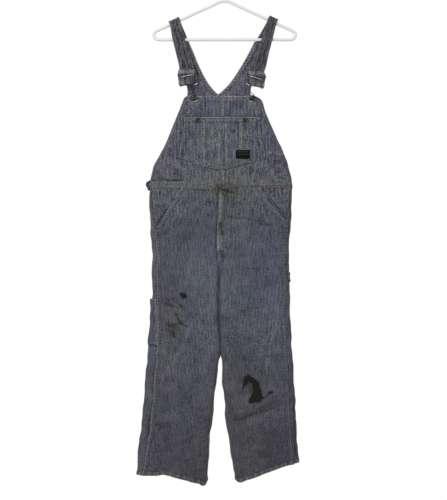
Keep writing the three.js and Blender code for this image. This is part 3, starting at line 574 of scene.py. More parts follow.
def trimmed(points, hand, x):
    """Cuts a section where it first passes an x on its way to its inner edge."""
    inside = points[:, 0] >= x if hand < 0 else points[:, 0] <= x
    first = int(np.argmax(inside))
    if first == 0:
        return points
    p, q = points[first - 1], points[first]
    cut = p + (q - p) * (x - p[0]) / (q[0] - p[0])
    return np.vstack([cut, points[first:]])


def ended(points, hand, x):
    return trimmed(points[::-1], -hand, x)[::-1]


def spaced(points, count, trim=GAP / 2):
    """Evenly spaced points on a section, with outward direction and distance from each end."""
    steps = np.linalg.norm(np.diff(points[:, :2], axis=0), axis=1)
    lengths = np.r_[0, np.cumsum(steps)]
    s = np.linspace(trim, lengths[-1] - trim, count + 1)
    row = np.stack([np.interp(s, lengths, points[:, c]) for c in range(4)], axis=1)
    row[:, 2:] /= np.linalg.norm(row[:, 2:], axis=1)[:, None]
    return row, s, lengths[-1] - s


def to_line(x, z, points):
    """Distance of places to a line through points, and how far along it they lie, from 0 to 1."""
    best = np.full(np.shape(x), 1e9)
    along = np.zeros(np.shape(x))
    count = len(points) - 1
    for k in range(count):
        (x0, z0), (x1, z1) = points[k], points[k + 1]
        dx, dz = x1 - x0, z1 - z0
        t = np.clip(((x - x0) * dx + (z - z0) * dz) / (dx * dx + dz * dz), 0, 1)
        away = np.hypot(x - x0 - t * dx, z - z0 - t * dz)
        nearer = away < best
        best = np.where(nearer, away, best)
        along = np.where(nearer, (k + t) / count, along)
    return best, along


def relief(face, x, z):
    """Height of the creases and of the cloth's own unevenness, in mm."""
    height = np.zeros(np.shape(x))
    for side, points, half, rise in CREASES:
        if side != face:
            continue
        away, along = to_line(x, z, points)
        fade = 0.35 + 0.65 * np.sin(math.pi * np.clip(along, 0.02, 0.98)) ** 0.6
        height += rise * fade * (1 - smooth(away / half))
    shift = {"front": 0.0, "back": 7.3, "inside": 13.1}[face]
    flat = np.ravel(x), np.ravel(z)
    rough = [
        0.75 * noise.noise(Vector((a / 95, shift, b / 150)))
        + 0.32 * noise.noise(Vector((a / 34, shift + 4, b / 52)))
        + 0.1 * noise.noise(Vector((a / 13, shift + 9, b / 17)))
        for a, b in zip(*flat)
    ]
    return height + np.reshape(rough, np.shape(x))


def paint(kind, face, x, z):
    """Distance in mm to the edge of that paint, negative inside it."""
    best = np.full(np.shape(x), 60.0)
    for name, side, x0, z0, x1, z1, r0, r1 in PAINT:
        if (name, side) != (kind, face):
            continue
        away, along = to_line(x, z, [(x0, z0), (x1, z1)])
        best = np.minimum(best, away - r0 - (r1 - r0) * along)
    return best


def shade_and_grime_lines(face, x, z):
    """Painted shade in the troughs beside seams, under ledges and in creases, with some grime settled there, from 0 to
    1.
    """
    total = np.zeros(np.shape(x))
    for side, width, strength, points in SHADE_AND_GRIME_LINES:
        if side == face:
            away, along = to_line(x, z, points)
            total = np.maximum(total, strength * np.exp(-((away / width) ** 2)))
    return total


def worn_and_lit_lines(face, x, z):
    """Wear on raised stitch lines, lighter and darker by turns, and painted light under the waist band's ledge, from 0
    to 1.
    """
    total = np.zeros(np.shape(x))
    for side, width, strength, turn, points in WORN_AND_LIT_LINES:
        if side == face:
            away, along = to_line(x, z, points)
            length = np.linalg.norm(np.diff(points, axis=0), axis=1).sum()
            phase = along * length / turn
            chain = 0.55 + 0.45 * np.cos(2 * math.pi * phase + 1.3 * np.sin(phase * 1.9))
            total = np.maximum(total, strength * chain * np.exp(-((away / width) ** 2)))
    return total


def wash_and_shade(face, x, z):
    """Red, green and blue factors of the fading and the grime, and of painted shade and light about the creases."""
    colour = np.ones(np.shape(x) + (3,))
    for side, x0, z0, rx, rz, *change in PATCHES:
        if side == face:
            near = np.exp(-(((x - x0) / rx) ** 2) - ((z - z0) / rz) ** 2)
            colour += near[..., None] * np.array(change)
    return colour


# Materials


class Graph:
    """Short calls for making a material's nodes."""

    def __init__(self, name):
        self.material = bpy.data.materials.new(name)
        self.material.use_nodes = True
        self.tree = self.material.node_tree
        self.tree.nodes.clear()
        self.output = self.tree.nodes.new("ShaderNodeOutputMaterial")
        self.shader = self.tree.nodes.new("ShaderNodeBsdfPrincipled")
        self.join(self.shader.outputs[0], self.output.inputs["Surface"])

    def join(self, source, target):
        self.tree.links.new(source, target)

    def feed(self, target, value):
        if isinstance(value, bpy.types.NodeSocket):
            self.join(value, target)
        else:
            target.default_value = value

    def node(self, kind, inputs=(), **settings):
        made = self.tree.nodes.new(kind)
        for key, value in settings.items():
            setattr(made, key, value)
        for key, value in dict(inputs).items():
            self.feed(made.inputs[key], value)
        return made

    def maths(self, operation, *values):
        made = self.tree.nodes.new("ShaderNodeMath")
        made.operation = operation
        for socket, value in zip(made.inputs, values):
            self.feed(socket, value)
        return made.outputs[0]

    def ramp(self, value, low, high, start=0.0, end=1.0, kind="SMOOTHSTEP"):
        made = self.node("ShaderNodeMapRange", interpolation_type=kind)
        for socket, given in zip(made.inputs, (value, low, high, start, end)):
            self.feed(socket, given)
        return made.outputs[0]

    def noise(self, where, scale, detail=2.0, roughness=0.5):
        inputs = {"Vector": where, "Scale": scale, "Detail": detail, "Roughness": roughness}
        return self.node("ShaderNodeTexNoise", inputs).outputs[0]

    def mix(self, factor, a, b, kind="MIX"):
        made = self.tree.nodes.new("ShaderNodeMix")
        made.data_type = "RGBA"
        made.blend_type = kind
        self.feed(made.inputs[0], factor)
        self.feed(made.inputs[6], a)
        self.feed(made.inputs[7], b)
        return made.outputs[2]

    def attribute(self, name):
        return self.node("ShaderNodeAttribute", attribute_name=name)

    def set(self, **values):
        for key, value in values.items():
            self.feed(self.shader.inputs[key.replace("_", " ")], value)


STRIPE = 4.2 * MM
INDIGO = (0.027, 0.030, 0.056, 1)
PALE = (0.19, 0.197, 0.222, 1)
# Pale colour that wear and painted light mix towards
FADED_AND_LIT = (0.40, 0.40, 0.36, 1)
# Near black that the painted shade in seam troughs and creases, and the grime there, mix towards
SHADE_AND_GRIME_COLOUR = (0.012, 0.011, 0.011, 1)
BLACK_PAINT = (0.006, 0.0055, 0.005, 1)
GREEN_PAINT = (0.014, 0.07, 0.035, 1)
BROWN_STAIN = (0.036, 0.028, 0.019, 1)


def denim(name, indigo=INDIGO, pale=PALE, inner=False):
    """Striped denim: stripes and twill follow the cloth's own map, wear and paint its attributes."""
    g = Graph(name)
    uv = g.node("ShaderNodeUVMap", uv_map="cloth").outputs[0]
    place = g.node("ShaderNodeTexCoord").outputs["Object"]
    parts = g.node("ShaderNodeSeparateXYZ", {"Vector": uv})
    u, v = parts.outputs[0], parts.outputs[1]
    wobble = g.maths("MULTIPLY", g.maths("SUBTRACT", g.noise(uv, 160.0), 0.5), 0.0008)
    drift = g.maths("MULTIPLY", g.maths("SUBTRACT", g.noise(uv, 26.0), 0.5), 0.004)
    wobble = g.maths("ADD", wobble, drift)
    turn = g.maths("FRACT", g.maths("DIVIDE", g.maths("ADD", u, wobble), STRIPE))
    away = g.maths("ABSOLUTE", g.maths("SUBTRACT", turn, 0.5))
    light = g.ramp(away, 0.1, 0.19, 1.0, 0.0)
    hair = g.ramp(g.maths("ABSOLUTE", g.maths("SUBTRACT", away, 0.5)), 0.03, 0.07, 0.35, 0.0)
    light = g.maths("MAXIMUM", light, hair)
    clear = g.attribute("wash_and_shade").outputs["Alpha"]
    light = g.maths("ADD", g.maths("MULTIPLY", g.maths("SUBTRACT", light, 0.32), clear), 0.32)
    thread = g.noise(g.node("ShaderNodeMapping", {"Vector": uv, "Scale": (2200.0, 260.0, 1.0)}).outputs[0], 1.0, 3.0)
    twill = g.maths("FRACT", g.maths("DIVIDE", g.maths("ADD", u, g.maths("MULTIPLY", v, 0.8)), 0.00085))
    twill = g.ramp(g.maths("ABSOLUTE", g.maths("SUBTRACT", twill, 0.5)), 0.08, 0.4)
    cloudy = g.noise(place, 9.0, 4.0, 0.6)
    blotch = g.noise(place, 42.0, 4.0, 0.65)
    speck = g.noise(place, 320.0, 3.0, 0.7)
    strength = g.ramp(cloudy, 0.3, 0.7, 0.7, 1.0)
    hue = g.ramp(g.noise(place, 16.0, 3.0, 0.6), 0.35, 0.65)
    warm = tuple(c * f for c, f in zip(pale, (1.03, 0.985, 1.0, 1)))
    cool = tuple(c * f for c, f in zip(pale, (0.97, 1.015, 1.01, 1)))
    pale = g.mix(hue, warm, cool)
    streak = g.noise(g.node("ShaderNodeMapping", {"Vector": uv, "Scale": (200.0, 34.0, 1.0)}).outputs[0], 1.0, 3.0, 0.6)
    colour = g.mix(g.maths("MULTIPLY", light, strength), indigo, pale)
    lift = g.maths("MULTIPLY", g.ramp(thread, 0.35, 0.75), 0.16)
    colour = g.mix(lift, colour, pale)
    colour = g.mix(g.maths("MULTIPLY", twill, 0.14), colour, pale)
    coarse = g.maths("MULTIPLY_ADD", clear, 0.4, 0.5)
    speckle = g.maths("MULTIPLY", g.ramp(speck, 0.36, 0.64, -0.48, 0.48), coarse)
    tone = g.maths("ADD", g.ramp(blotch, 0.25, 0.75, 0.8, 1.2), speckle)
    tone = g.maths("ADD", tone, g.maths("MULTIPLY", g.ramp(streak, 0.3, 0.7, -0.3, 0.3), clear))
    tone = g.maths("MULTIPLY", tone, g.ramp(cloudy, 0.3, 0.7, 0.93, 1.07))
    grey = g.node("ShaderNodeCombineXYZ", {0: tone, 1: tone, 2: tone}).outputs[0]
    colour = g.mix(1.0, colour, grey, "MULTIPLY")
    # Patches of fading and grime, and of painted shade and light about the creases
    colour = g.mix(1.0, colour, g.attribute("wash_and_shade").outputs["Color"], "MULTIPLY")
    # Lightening towards faded cloth: wear on edges and seams, and painted light under the waist band's ledge and on the
    # strap's roll
    worn = g.attribute("wear_and_light").outputs["Fac"]
    fray = g.maths("MULTIPLY", worn, g.ramp(g.noise(place, 190.0, 4.0, 0.7), 0.38, 0.6, 0.1, 1.1))
    colour = g.mix(g.maths("MINIMUM", fray, 0.85), colour, FADED_AND_LIT)
    # The darkening attribute paints shade in seam troughs, under ledges and in creases, and grime, towards a near black
    # broken up by noise
    flecks = g.noise(place, 150.0, 4.0, 0.7)
    shade_and_grime = g.maths("MULTIPLY", g.ramp(blotch, 0.25, 0.65, 0.55, 1.0), g.ramp(flecks, 0.38, 0.58, 0.4, 1.2))
    shade_and_grime = g.maths("MULTIPLY", g.attribute("shade_and_dirt").outputs["Fac"], shade_and_grime)
    colour = g.mix(g.maths("MINIMUM", shade_and_grime, 0.9), colour, SHADE_AND_GRIME_COLOUR)
    rough = 0.93
    height = g.maths("MULTIPLY", twill, 0.5)
    height = g.maths("ADD", height, g.maths("MULTIPLY", thread, 0.6))
    height = g.maths("ADD", height, g.maths("MULTIPLY", blotch, 0.9))
    if not inner:
        ragged = g.noise(place, 260.0, 4.0, 0.65)
        edge = g.maths("MULTIPLY", g.maths("SUBTRACT", ragged, 0.5), 7.0)
        soaked = g.maths("MULTIPLY", g.maths("SUBTRACT", g.noise(place, 70.0, 4.0, 0.7), 0.5), 16.0)
        brown = g.maths("ADD", g.attribute("brown").outputs["Fac"], soaked)
        colour = g.mix(g.ramp(brown, -9.0, 5.0, 0.6, 0.0), colour, BROWN_STAIN)
        green = g.maths("ADD", g.attribute("green").outputs["Fac"], g.maths("MULTIPLY", edge, 2.4))
        patchy = g.ramp(g.noise(place, 210.0, 4.0, 0.7), 0.4, 0.56, 0.55, 1.0)
        colour = g.mix(g.maths("MULTIPLY", g.ramp(green, -2.0, 2.4, 0.85, 0.0), patchy), colour, GREEN_PAINT)
        distance = g.maths("ADD", g.attribute("black").outputs["Fac"], edge)
        halo = g.ramp(distance, 0.5, 5.0, 0.28, 0.0)
        colour = g.mix(halo, colour, (0.025, 0.02, 0.016, 1))
        black = g.ramp(distance, -2.2, 1.0, 1.0, 0.0)
        skin = g.mix(g.ramp(speck, 0.4, 0.75, 0.0, 0.35), BLACK_PAINT, (0.018, 0.0165, 0.014, 1))
        colour = g.mix(g.maths("MULTIPLY", black, 0.96), colour, skin)
        rough = g.ramp(black, 0.0, 1.0, 0.93, 0.6)
        height = g.maths("ADD", height, g.maths("MULTIPLY", black, 0.8))
    bump = g.node("ShaderNodeBump", {"Strength": 0.45, "Distance": 0.0005, "Height": height}).outputs[0]
    g.set(Base_Color=colour, Roughness=rough, Normal=bump)
    g.set(Sheen_Weight=0.12, Sheen_Roughness=0.5, Sheen_Tint=(0.8, 0.82, 0.9, 1), Specular_IOR_Level=0.12)
    return g.material


def plain(name, colour, rough, metal=0.0, tone=0.1, scale=160.0, bump=0.2, second=None, shine=0.5):
    """A solid colour with an uneven tone, an uneven polish and a slight bump."""
    g = Graph(name)
    place = g.node("ShaderNodeTexCoord").outputs["Object"]
    fine = g.noise(place, scale, 5.0, 0.6)
    wide = g.noise(place, scale / 6, 3.0, 0.6)
    tones = g.maths("ADD", g.ramp(wide, 0.3, 0.7, 1 - tone, 1 + tone), g.ramp(fine, 0.3, 0.7, -tone / 2, tone / 2))
    grey = g.node("ShaderNodeCombineXYZ", {0: tones, 1: tones, 2: tones}).outputs[0]
    colour = g.mix(1.0, colour, grey, "MULTIPLY")
    if second is not None:
        colour = g.mix(g.ramp(fine, 0.5, 0.68, 0.0, 0.8), colour, second)
    height = g.node("ShaderNodeBump", {"Strength": bump, "Distance": 0.0003, "Height": fine}).outputs[0]
    g.set(Base_Color=colour, Roughness=g.ramp(wide, 0.3, 0.7, rough - 0.06, rough + 0.08))
    g.set(Metallic=metal, Normal=height, Specular_IOR_Level=shine)
    return g.material


def thread_material():
    """Pale cotton thread, soiled in places."""
    g = Graph("thread")
    place = g.node("ShaderNodeTexCoord").outputs["Object"]
    soil = g.noise(place, 28.0, 3.0, 0.6)
    twist = g.noise(place, 2400.0, 2.0, 0.5)
    colour = g.mix(g.ramp(soil, 0.36, 0.6), (0.42, 0.42, 0.385, 1), (0.12, 0.118, 0.105, 1))
    height = g.node("ShaderNodeBump", {"Strength": 0.4, "Distance": 0.0002, "Height": twist}).outputs[0]
    g.set(Base_Color=colour, Roughness=0.85, Normal=height, Specular_IOR_Level=0.2)
    return g.material


DENIM = denim("denim")
INNER = denim("denim_inside", (0.064, 0.061, 0.098, 1), (0.212, 0.208, 0.246, 1), inner=True)
THREAD = thread_material()
LABEL = plain("label", (0.0045, 0.0045, 0.004, 1), 0.85, scale=700.0, bump=0.5, shine=0.1)
LABEL_LINE = plain("label_line", (0.06, 0.054, 0.024, 1), 0.85, scale=700.0, bump=0.5, shine=0.1)
# Dark brass whose golden spots in fine noise are partly worn brass and partly painted glints
BRASS = plain("brass", (0.012, 0.012, 0.007, 1), 0.4, 0.6, 0.3, 330.0, 0.35, (0.17, 0.15, 0.06, 1))
# The same pewter in two copies: a bright one for painted highlights on the slide's front bar and glints of the wire,
# and a dark one for the rim and wire loop in painted shade
PEWTER_HIGHLIGHT = plain("pewter", (0.62, 0.62, 0.6, 1), 0.38, 0.75, 0.15, 420.0, 0.25, (0.1, 0.1, 0.09, 1))
PEWTER_SHADED = plain("pewter_shaded", (0.02, 0.02, 0.02, 1), 0.45, 0.7, 0.2, 420.0, 0.25, (0.06, 0.06, 0.055, 1))
PLASTIC = plain("white_plastic", (0.8, 0.79, 0.76, 1), 0.36, 0.0, 0.02, 90.0, 0.06)

SURFACES = {"front": [], "back": [], "inside": []}
STITCHED = []


def made(name, bm, materials, slot, nodes=(), smooth_shaded=True):
    """Turns finished geometry into a piece of the garment, riding on its one body."""
    mesh = bpy.data.meshes.new(name)
    bm.to_mesh(mesh)
    bm.free()
    for material in materials:
        mesh.materials.append(material)
    mesh.polygons.foreach_set("use_smooth", [smooth_shaded] * len(mesh.polygons))
    piece = bpy.data.objects.new(name, mesh)
    bpy.context.scene.collection.objects.link(piece)
    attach(piece, "root")
    if nodes:
        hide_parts(*nodes)
    return piece


def cloth(name, nodes, places, out, u, v, face, wear_and_light=None, shade_and_dirt=None, thick=CLOTH, lay_on=None):
    """A sheet of denim through a grid of places in mm, with its map, its wear and painted light, its wash, painted
    shade and grime, and its paint.

    The grid's places are on the outer face, out is the outward direction there, and u and v the cloth's own map.
    """
    rows, columns = places.shape[:2]
    bm = bmesh.new()
    bmesh.ops.create_grid(bm, x_segments=columns - 1, y_segments=rows - 1, size=1)
    bm.verts.ensure_lookup_table()
    column = [round((vert.co.x + 1) / 2 * (columns - 1)) for vert in bm.verts]
    row = [round((1 - vert.co.y) / 2 * (rows - 1)) for vert in bm.verts]
    for vert, r, c in zip(bm.verts, row, column):
        vert.co = Vector(places[r, c]) * MM
    bm.normal_update()
    middle = bm.faces[:][len(bm.faces) // 2]
    corner = middle.verts[0].index
    if middle.normal.dot(Vector(out[row[corner], column[corner]])) < 0:
        bmesh.ops.reverse_faces(bm, faces=bm.faces[:])
    chart = bm.loops.layers.uv.new("cloth")
    for quad in bm.faces:
        for loop in quad.loops:
            k = loop.vert.index
            loop[chart].uv = (u[row[k], column[k]] * MM, v[row[k], column[k]] * MM)
    if lay_on:
        SURFACES[lay_on].append(BVHTree.FromBMesh(bm))
    if name.startswith("back_bib"):
        SURFACES["inside"].append(SURFACES[lay_on][-1])
    x, z = places[..., 0], places[..., 2]
    colour = wash_and_shade(face, x, z)
    layers = {kind: paint(kind, face, x, z) for kind in ("black", "green", "brown")}
    layers["wear_and_light"] = np.maximum(worn_and_lit_lines(face, x, z), 0 if wear_and_light is None else wear_and_light)
    # Darkening from the lines and from each piece's own table: painted shade in troughs and under ledges, and some
    # grime
    layers["shade_and_dirt"] = shade_and_grime_lines(face, x, z)
    if shade_and_dirt is not None:
        layers["shade_and_dirt"] = np.maximum(layers["shade_and_dirt"], shade_and_dirt)
    piece = made(f"{name}_cloth", bm, [DENIM, INNER], "denim", nodes)
    if face == "inside":
        piece.data.materials[0] = INNER
        piece.data.materials[1] = DENIM
    mesh = piece.data
    tint = mesh.attributes.new("wash_and_shade", "FLOAT_COLOR", "POINT")
    clear = 1.4 - 0.6 * smooth((-650 - z) / 90) - 0.2 * smooth((-1150 - z) / 150) + 0.3 * smooth((z + 340) / 20)
    whole = np.concatenate([colour, clear[..., None]], axis=-1)[row, column]
    tint.data.foreach_set("color", whole.astype(np.float32).ravel())
    for key, values in layers.items():
        layer = mesh.attributes.new(key, "FLOAT", "POINT")
        layer.data.foreach_set("value", values[row, column].astype(np.float32))
    shell = piece.modifiers.new("thickness", "SOLIDIFY")
    shell.thickness = thick * MM
    shell.offset = -1
    shell.material_offset = 1
    across = np.linalg.norm(np.diff(places, axis=1), axis=2)
    down = np.linalg.norm(np.diff(places, axis=0), axis=2)
    width, length = max(across.sum(axis=1).max() * MM, 0.0102), max(down.sum(axis=0).max() * MM, 0.0102)
    area = (across[:-1] + across[1:]) / 2 * (down[:, :-1] + down[:, 1:]) / 2
    area = min(area.sum() * MM * MM, width * length)
    return piece


def edge_wear(*distances, width=2.2, strength=0.8):
    """Wear that fades with distance from folded edges."""
    total = np.zeros(np.shape(distances[0]))
    for away in distances:
        total = np.maximum(total, strength * np.exp(-((away / width) ** 2)))
    return total


# Trouser legs

LEG_AXIS = {-1: (-115, -157), 1: (88, 130)}


def seam_start(z, hand):
    inset = lookup(SIDE_SEAM, 1 if hand < 0 else 2, z)
    return math.sqrt(1 - (1 - inset / lookup(DEPTH, 3, z)) ** 2)


def leg_section(z, hand, face, start=None):
    inner, turn, width = (lookup(INSEAM, c, z) for c in (1 if hand < 0 else 2, 3, 4))
    inner += wavy(z, hand + 3) * float(smooth((-1168 - z) / 40))
    if start is None:
        start = -face * seam_start(z, hand)
    return section(z, hand, face, inner, turn, width, start)


def hem_drop(face, x, z):
    rise = smooth((KNEE - z) / (KNEE - HEM))
    return rise * lookup(HEM_DROP, 1 if face < 0 else 2, x)


def leg_panel(name, hand, face):
    """One of the four trouser panels, with felled seams at its sides and a folded hem."""
    zs = np.linspace(WAIST - GAP, HEM, 271 if face < 0 else 211)
    columns = 66 if face < 0 else 52
    column = 1 if hand < 0 else 2
    rows = []
    for z in zs:
        whole = leg_section(z, hand, face)
        if face < 0 and z > SLASH_END:
            whole = trimmed(whole, hand, lookup(SLASH, column, z))
        row, s, left = spaced(whole, columns)
        top, foot = LEG_AXIS[hand]
        axis = top + (foot - top) * (WAIST - z) / (WAIST - HEM)
        order = np.argsort(row[:, 0])
        middle = np.interp(axis, row[order, 0], s[order])
        rows.append(np.column_stack([row, s, left, s - middle]))
    grid = np.array(rows)
    x, y, nx, ny, s, left, u = (grid[..., k] for k in range(7))
    z = np.repeat(zs[:, None], columns + 1, axis=1)
    side = "front" if face < 0 else "back"
    seam = np.where(z < SLASH_END, s, 60) if face < 0 else s
    inseam = np.where(z < -872, left, 60)
    mask = smooth(np.minimum(seam, inseam) / 20)
    height = mask * relief(side, x, z)
    ripple = 0.5 + 0.5 * np.sin(2 * math.pi * z / 9.5 + 1.6 * np.sin(z / 31) + hand)
    if face < 0:
        height += (0.75 + 0.35 * ripple) * smooth((9.2 - seam) / 1.4) * smooth((SLASH_END - 6 - z) / 8)
        height -= 0.55 * ripple * np.exp(-(((seam - 12) / 4) ** 2)) * smooth((SLASH_END - 6 - z) / 8)
        height += (0.5 + 0.3 * ripple) * smooth((8.6 - inseam) / 1.4)
        centre = np.where(z > -880, np.abs(left - 0), 60)
        height += 0.4 * smooth((8 - centre) / 1.5)
    else:
        height += 0.4 * (0.4 + ripple) * np.exp(-(((seam - 4) / 5) ** 2))
        if hand > 0:
            height += 0.6 * smooth((9 - np.where(z > -872, left, 60)) / 1.4)
    hem = z - HEM
    tuck = 0.5 + 0.5 * np.sin(u * 0.42 + 1.3 * np.sin(u * 0.13))
    height += (0.75 + 0.3 * tuck) * smooth((11.5 - hem) / 1.6)
    height -= 0.35 * tuck * np.exp(-(((hem - 15) / 4) ** 2))
    drop = hem_drop(face, x, z)
    places = np.stack([x + height * nx, y + height * ny, z + drop], axis=-1)
    out = np.stack([nx, ny, np.zeros_like(nx)], axis=-1)
    wear_and_light = edge_wear(hem, width=2.0, strength=0.6) * (0.4 + 0.6 * tuck)
    wear_and_light = np.maximum(wear_and_light, 0.3 * smooth((12 - hem) / 2) * tuck)
    if face < 0:
        clear = 0.95 if hand < 0 else 0.5
        wear_and_light = np.maximum(wear_and_light, edge_wear(seam - 1.2, width=2.2, strength=clear) * (0.45 + 0.55 * ripple))
        wear_and_light = np.maximum(wear_and_light, edge_wear(seam - 8.4, width=1.5, strength=0.2) * (0.4 + 0.6 * ripple))
        wear_and_light = np.maximum(wear_and_light, edge_wear(inseam - 8, width=1.5, strength=0.4) * (0.3 + 0.7 * ripple))
    wear_and_light = np.maximum(wear_and_light, 0.05 * np.clip(mask * height, 0, 2.5) / 2.5)
    # Painted shade in the hem's fold, in the troughs beside the felled seams and the inseam, and along the panel's
    # edges
    shade_and_dirt = 0.6 * np.exp(-(((hem - 13.5) / 2.2) ** 2)) * (1 - 0.6 * tuck)
    shade_and_dirt = np.maximum(shade_and_dirt, 0.5 * np.exp(-(((hem - 5.5) / 2.6) ** 2)) * (1 - tuck))
    if face < 0:
        below = smooth((SLASH_END - 2 - z) / 8)
        shade_and_dirt = np.maximum(shade_and_dirt, below * 0.75 * np.exp(-(((seam - 11.2) / 2.0) ** 2)) * (1 - 0.7 * ripple))
        shade_and_dirt = np.maximum(shade_and_dirt, below * 0.7 * np.exp(-(((seam - 4.8) / 2.2) ** 2)) * (1 - ripple))
        shade_and_dirt = np.maximum(shade_and_dirt, 0.55 * np.exp(-(((inseam - 10.4) / 2.0) ** 2)) * (1 - 0.7 * ripple))
        shade_and_dirt = np.maximum(shade_and_dirt, 0.4 * np.exp(-(((inseam - 0.0) / 1.4) ** 2)))
    shade_and_dirt = np.maximum(shade_and_dirt, 0.4 * np.exp(-(((seam - 0.0) / 1.4) ** 2)))
    piece = cloth(
        f"{side}_{name}",
        [f"{side}_{name}"],
        places,
        out,
        u,
        -z,
        side,
        wear_and_light=wear_and_light,
        shade_and_dirt=shade_and_dirt,
        thick=1.3,
        lay_on=side,
    )
    thicker = piece.vertex_groups.new(name="hem")
    low = [k for k, vert in enumerate(piece.data.vertices) if vert.co.z < 0]
    thicker.add(low, 0.6, "REPLACE")
    foot = float(HEM + 11)
    rise = [hem_drop(face, vert.co.x / MM, HEM) for vert in piece.data.vertices]
    hemmed = [k for k, vert in enumerate(piece.data.vertices) if vert.co.z / MM < foot + rise[k]]
    thicker.add(hemmed, 1.0, "REPLACE")
    piece.modifiers["thickness"].thickness = 2.2 * MM
    piece.modifiers["thickness"].vertex_group = "hem"
    return piece


for NAME, HAND in (("left", -1), ("right", 1)):
    leg_panel(NAME, HAND, -1)
    leg_panel(NAME, HAND, 1)

# Hip facings behind the slash openings


def hip_facing(name, hand):
    column = 1 if hand < 0 else 2
    rows = []
    zs = np.linspace(WAIST - GAP, SLASH_END, 34)
    for z in zs:
        whole = section(z, hand, -1, 0, 0, 4, seam_start(z, hand))
        row, s, left = spaced(ended(whole, hand, lookup(SLASH, column, z) - hand * 9), 22)
        rows.append(np.column_stack([row, s, left]))
    x, y, nx, ny, s, left = (np.array(rows)[..., k] for k in range(6))
    z = np.repeat(zs[:, None], 23, axis=1)
    inside = -1.6 - 0.9 + smooth(s / 14) * (relief("front", x, z) - 0.9)
    inside += 1.6 * smooth((z + 672) / 24) * smooth((left - 12) / 10)
    places = np.stack([x + inside * nx, y + inside * ny, z], axis=-1)
    out = np.stack([nx, ny, np.zeros_like(nx)], axis=-1)
    wear_and_light = edge_wear(s, width=3, strength=0.5)
    cloth(f"hip_facing_{name}", [f"hip_facing_{name}"], places, out, s + 1.3, -z, "front", wear_and_light=wear_and_light,
          lay_on="front")


for NAME, HAND in (("left", -1), ("right", 1)):
    hip_facing(NAME, HAND)

# Bib


def pocket_surround(x, z):
    """Painted shadow just outside the bib pocket's edges."""
    sides = [(lookup(POCKET, 1, height) - 1.2, height) for height in np.linspace(-434, -557, 9)]
    foot = [(px, lookup(POCKET_FOOT, 1, px) - 1.2) for px in np.linspace(-141, 124, 24)]
    other = [(lookup(POCKET, 2, height) + 1.2, height) for height in np.linspace(-557, -434, 9)]
    top = [(106.5, POCKET[0][0] + 1.2), (-120, POCKET[0][0] + 1.2)]
    away, along = to_line(x, z, sides + foot + other + top)
    broken = 0.5 + 0.5 * np.sin(x * 0.6 + z * 0.52)
    return 0.75 * np.exp(-((away / 1.9) ** 2)) * (0.55 + 0.45 * broken)


def bib_half(name, hand):
    zs = np.r_[np.linspace(BIB_TOP, -378, 5)[:-1], np.linspace(-378, WAIST, 122)]
    rows = []
    for z in zs:
        row, s, left = spaced(section(z, hand, -1, CENTRE_BIB, 0, 4, 0), 84)
        rows.append(np.column_stack([row, s, left]))
    x, y, nx, ny, s, left = (np.array(rows)[..., k] for k in range(6))
    z = np.repeat(zs[:, None], 85, axis=1)
    mask = smooth(s / 16) * smooth(left / 5)
    height = mask * relief("front", x, z)
    top = BIB_TOP - z
    tuck = 0.5 + 0.5 * np.sin(s * 0.5 + 1.1 * np.sin(s * 0.17))
    height += (0.8 + 0.3 * tuck) * smooth((14 - top) / 1.6)
    height -= 0.3 * tuck * np.exp(-(((top - 17.5) / 3.5) ** 2))
    pull = 0.5 + 0.5 * np.sin(z * 0.62 + 1.2 * np.sin(z * 0.11))
    height += (0.6 + 0.25 * pull) * smooth((9.5 - s) / 1.6) * smooth((s - 0.5) / 2)
    height -= 0.3 * pull * np.exp(-(((s - 13) / 3.5) ** 2))
    button = -93 if hand < 0 else 83.4
    height += 0.8 * np.exp(-((np.hypot(x - button, z + 386) / 26) ** 2))
    places = np.stack([x + height * nx, y + height * ny, z], axis=-1)
    out = np.stack([nx, ny, np.zeros_like(nx)], axis=-1)
    wear_and_light = np.maximum(edge_wear(top, s, width=2.2, strength=0.85), 0.25 * smooth((13 - top) / 2) * tuck)
    wear_and_light = np.maximum(wear_and_light, edge_wear(top - 13.4, width=1.3, strength=0.12))
    wear_and_light = np.maximum(wear_and_light, edge_wear(s - 8.8, width=1.3, strength=0.3))
    wear_and_light = np.maximum(wear_and_light, 0.5 * np.exp(-((np.hypot(x - button, z + 384) / 13) ** 2)))
    # Painted shade in the troughs under the top hem, beside the side hem and outside the pocket
    shade_and_dirt = 0.45 * np.exp(-(((top - 7.2) / 2.4) ** 2)) * (1 - tuck)
    shade_and_dirt = np.maximum(shade_and_dirt, 0.6 * np.exp(-(((top - 15.6) / 1.8) ** 2)) * (1 - 0.6 * tuck))
    shade_and_dirt = np.maximum(shade_and_dirt, 0.7 * np.exp(-(((s - 5.2) / 2.4) ** 2)) * (1 - pull))
    shade_and_dirt = np.maximum(shade_and_dirt, 0.6 * np.exp(-(((s - 11.6) / 2.0) ** 2)) * (1 - 0.6 * pull))
    shade_and_dirt = np.maximum(shade_and_dirt, pocket_surround(x, z))
    cloth(f"bib_{name}", [f"bib_{name}"], places, out, -hand * left, -z, "front", wear_and_light=wear_and_light, shade_and_dirt=shade_and_dirt,
          thick=1.3, lay_on="front")


for NAME, HAND in (("left", -1), ("right", 1)):
    bib_half(NAME, HAND)

SECTIONS = {}


def front_section(hand, z):
    """The whole front at a height, kept for reuse: x, y and outward direction in order of x."""
    key = (hand, round(z))
    if key not in SECTIONS:
        if z > WAIST:
            points = section(key[1], hand, -1, CENTRE_BIB, 0, 4, 0)
        else:
            points = leg_section(key[1], hand, -1, start=0)
        SECTIONS[key] = points[np.argsort(points[:, 0])]
    return SECTIONS[key]


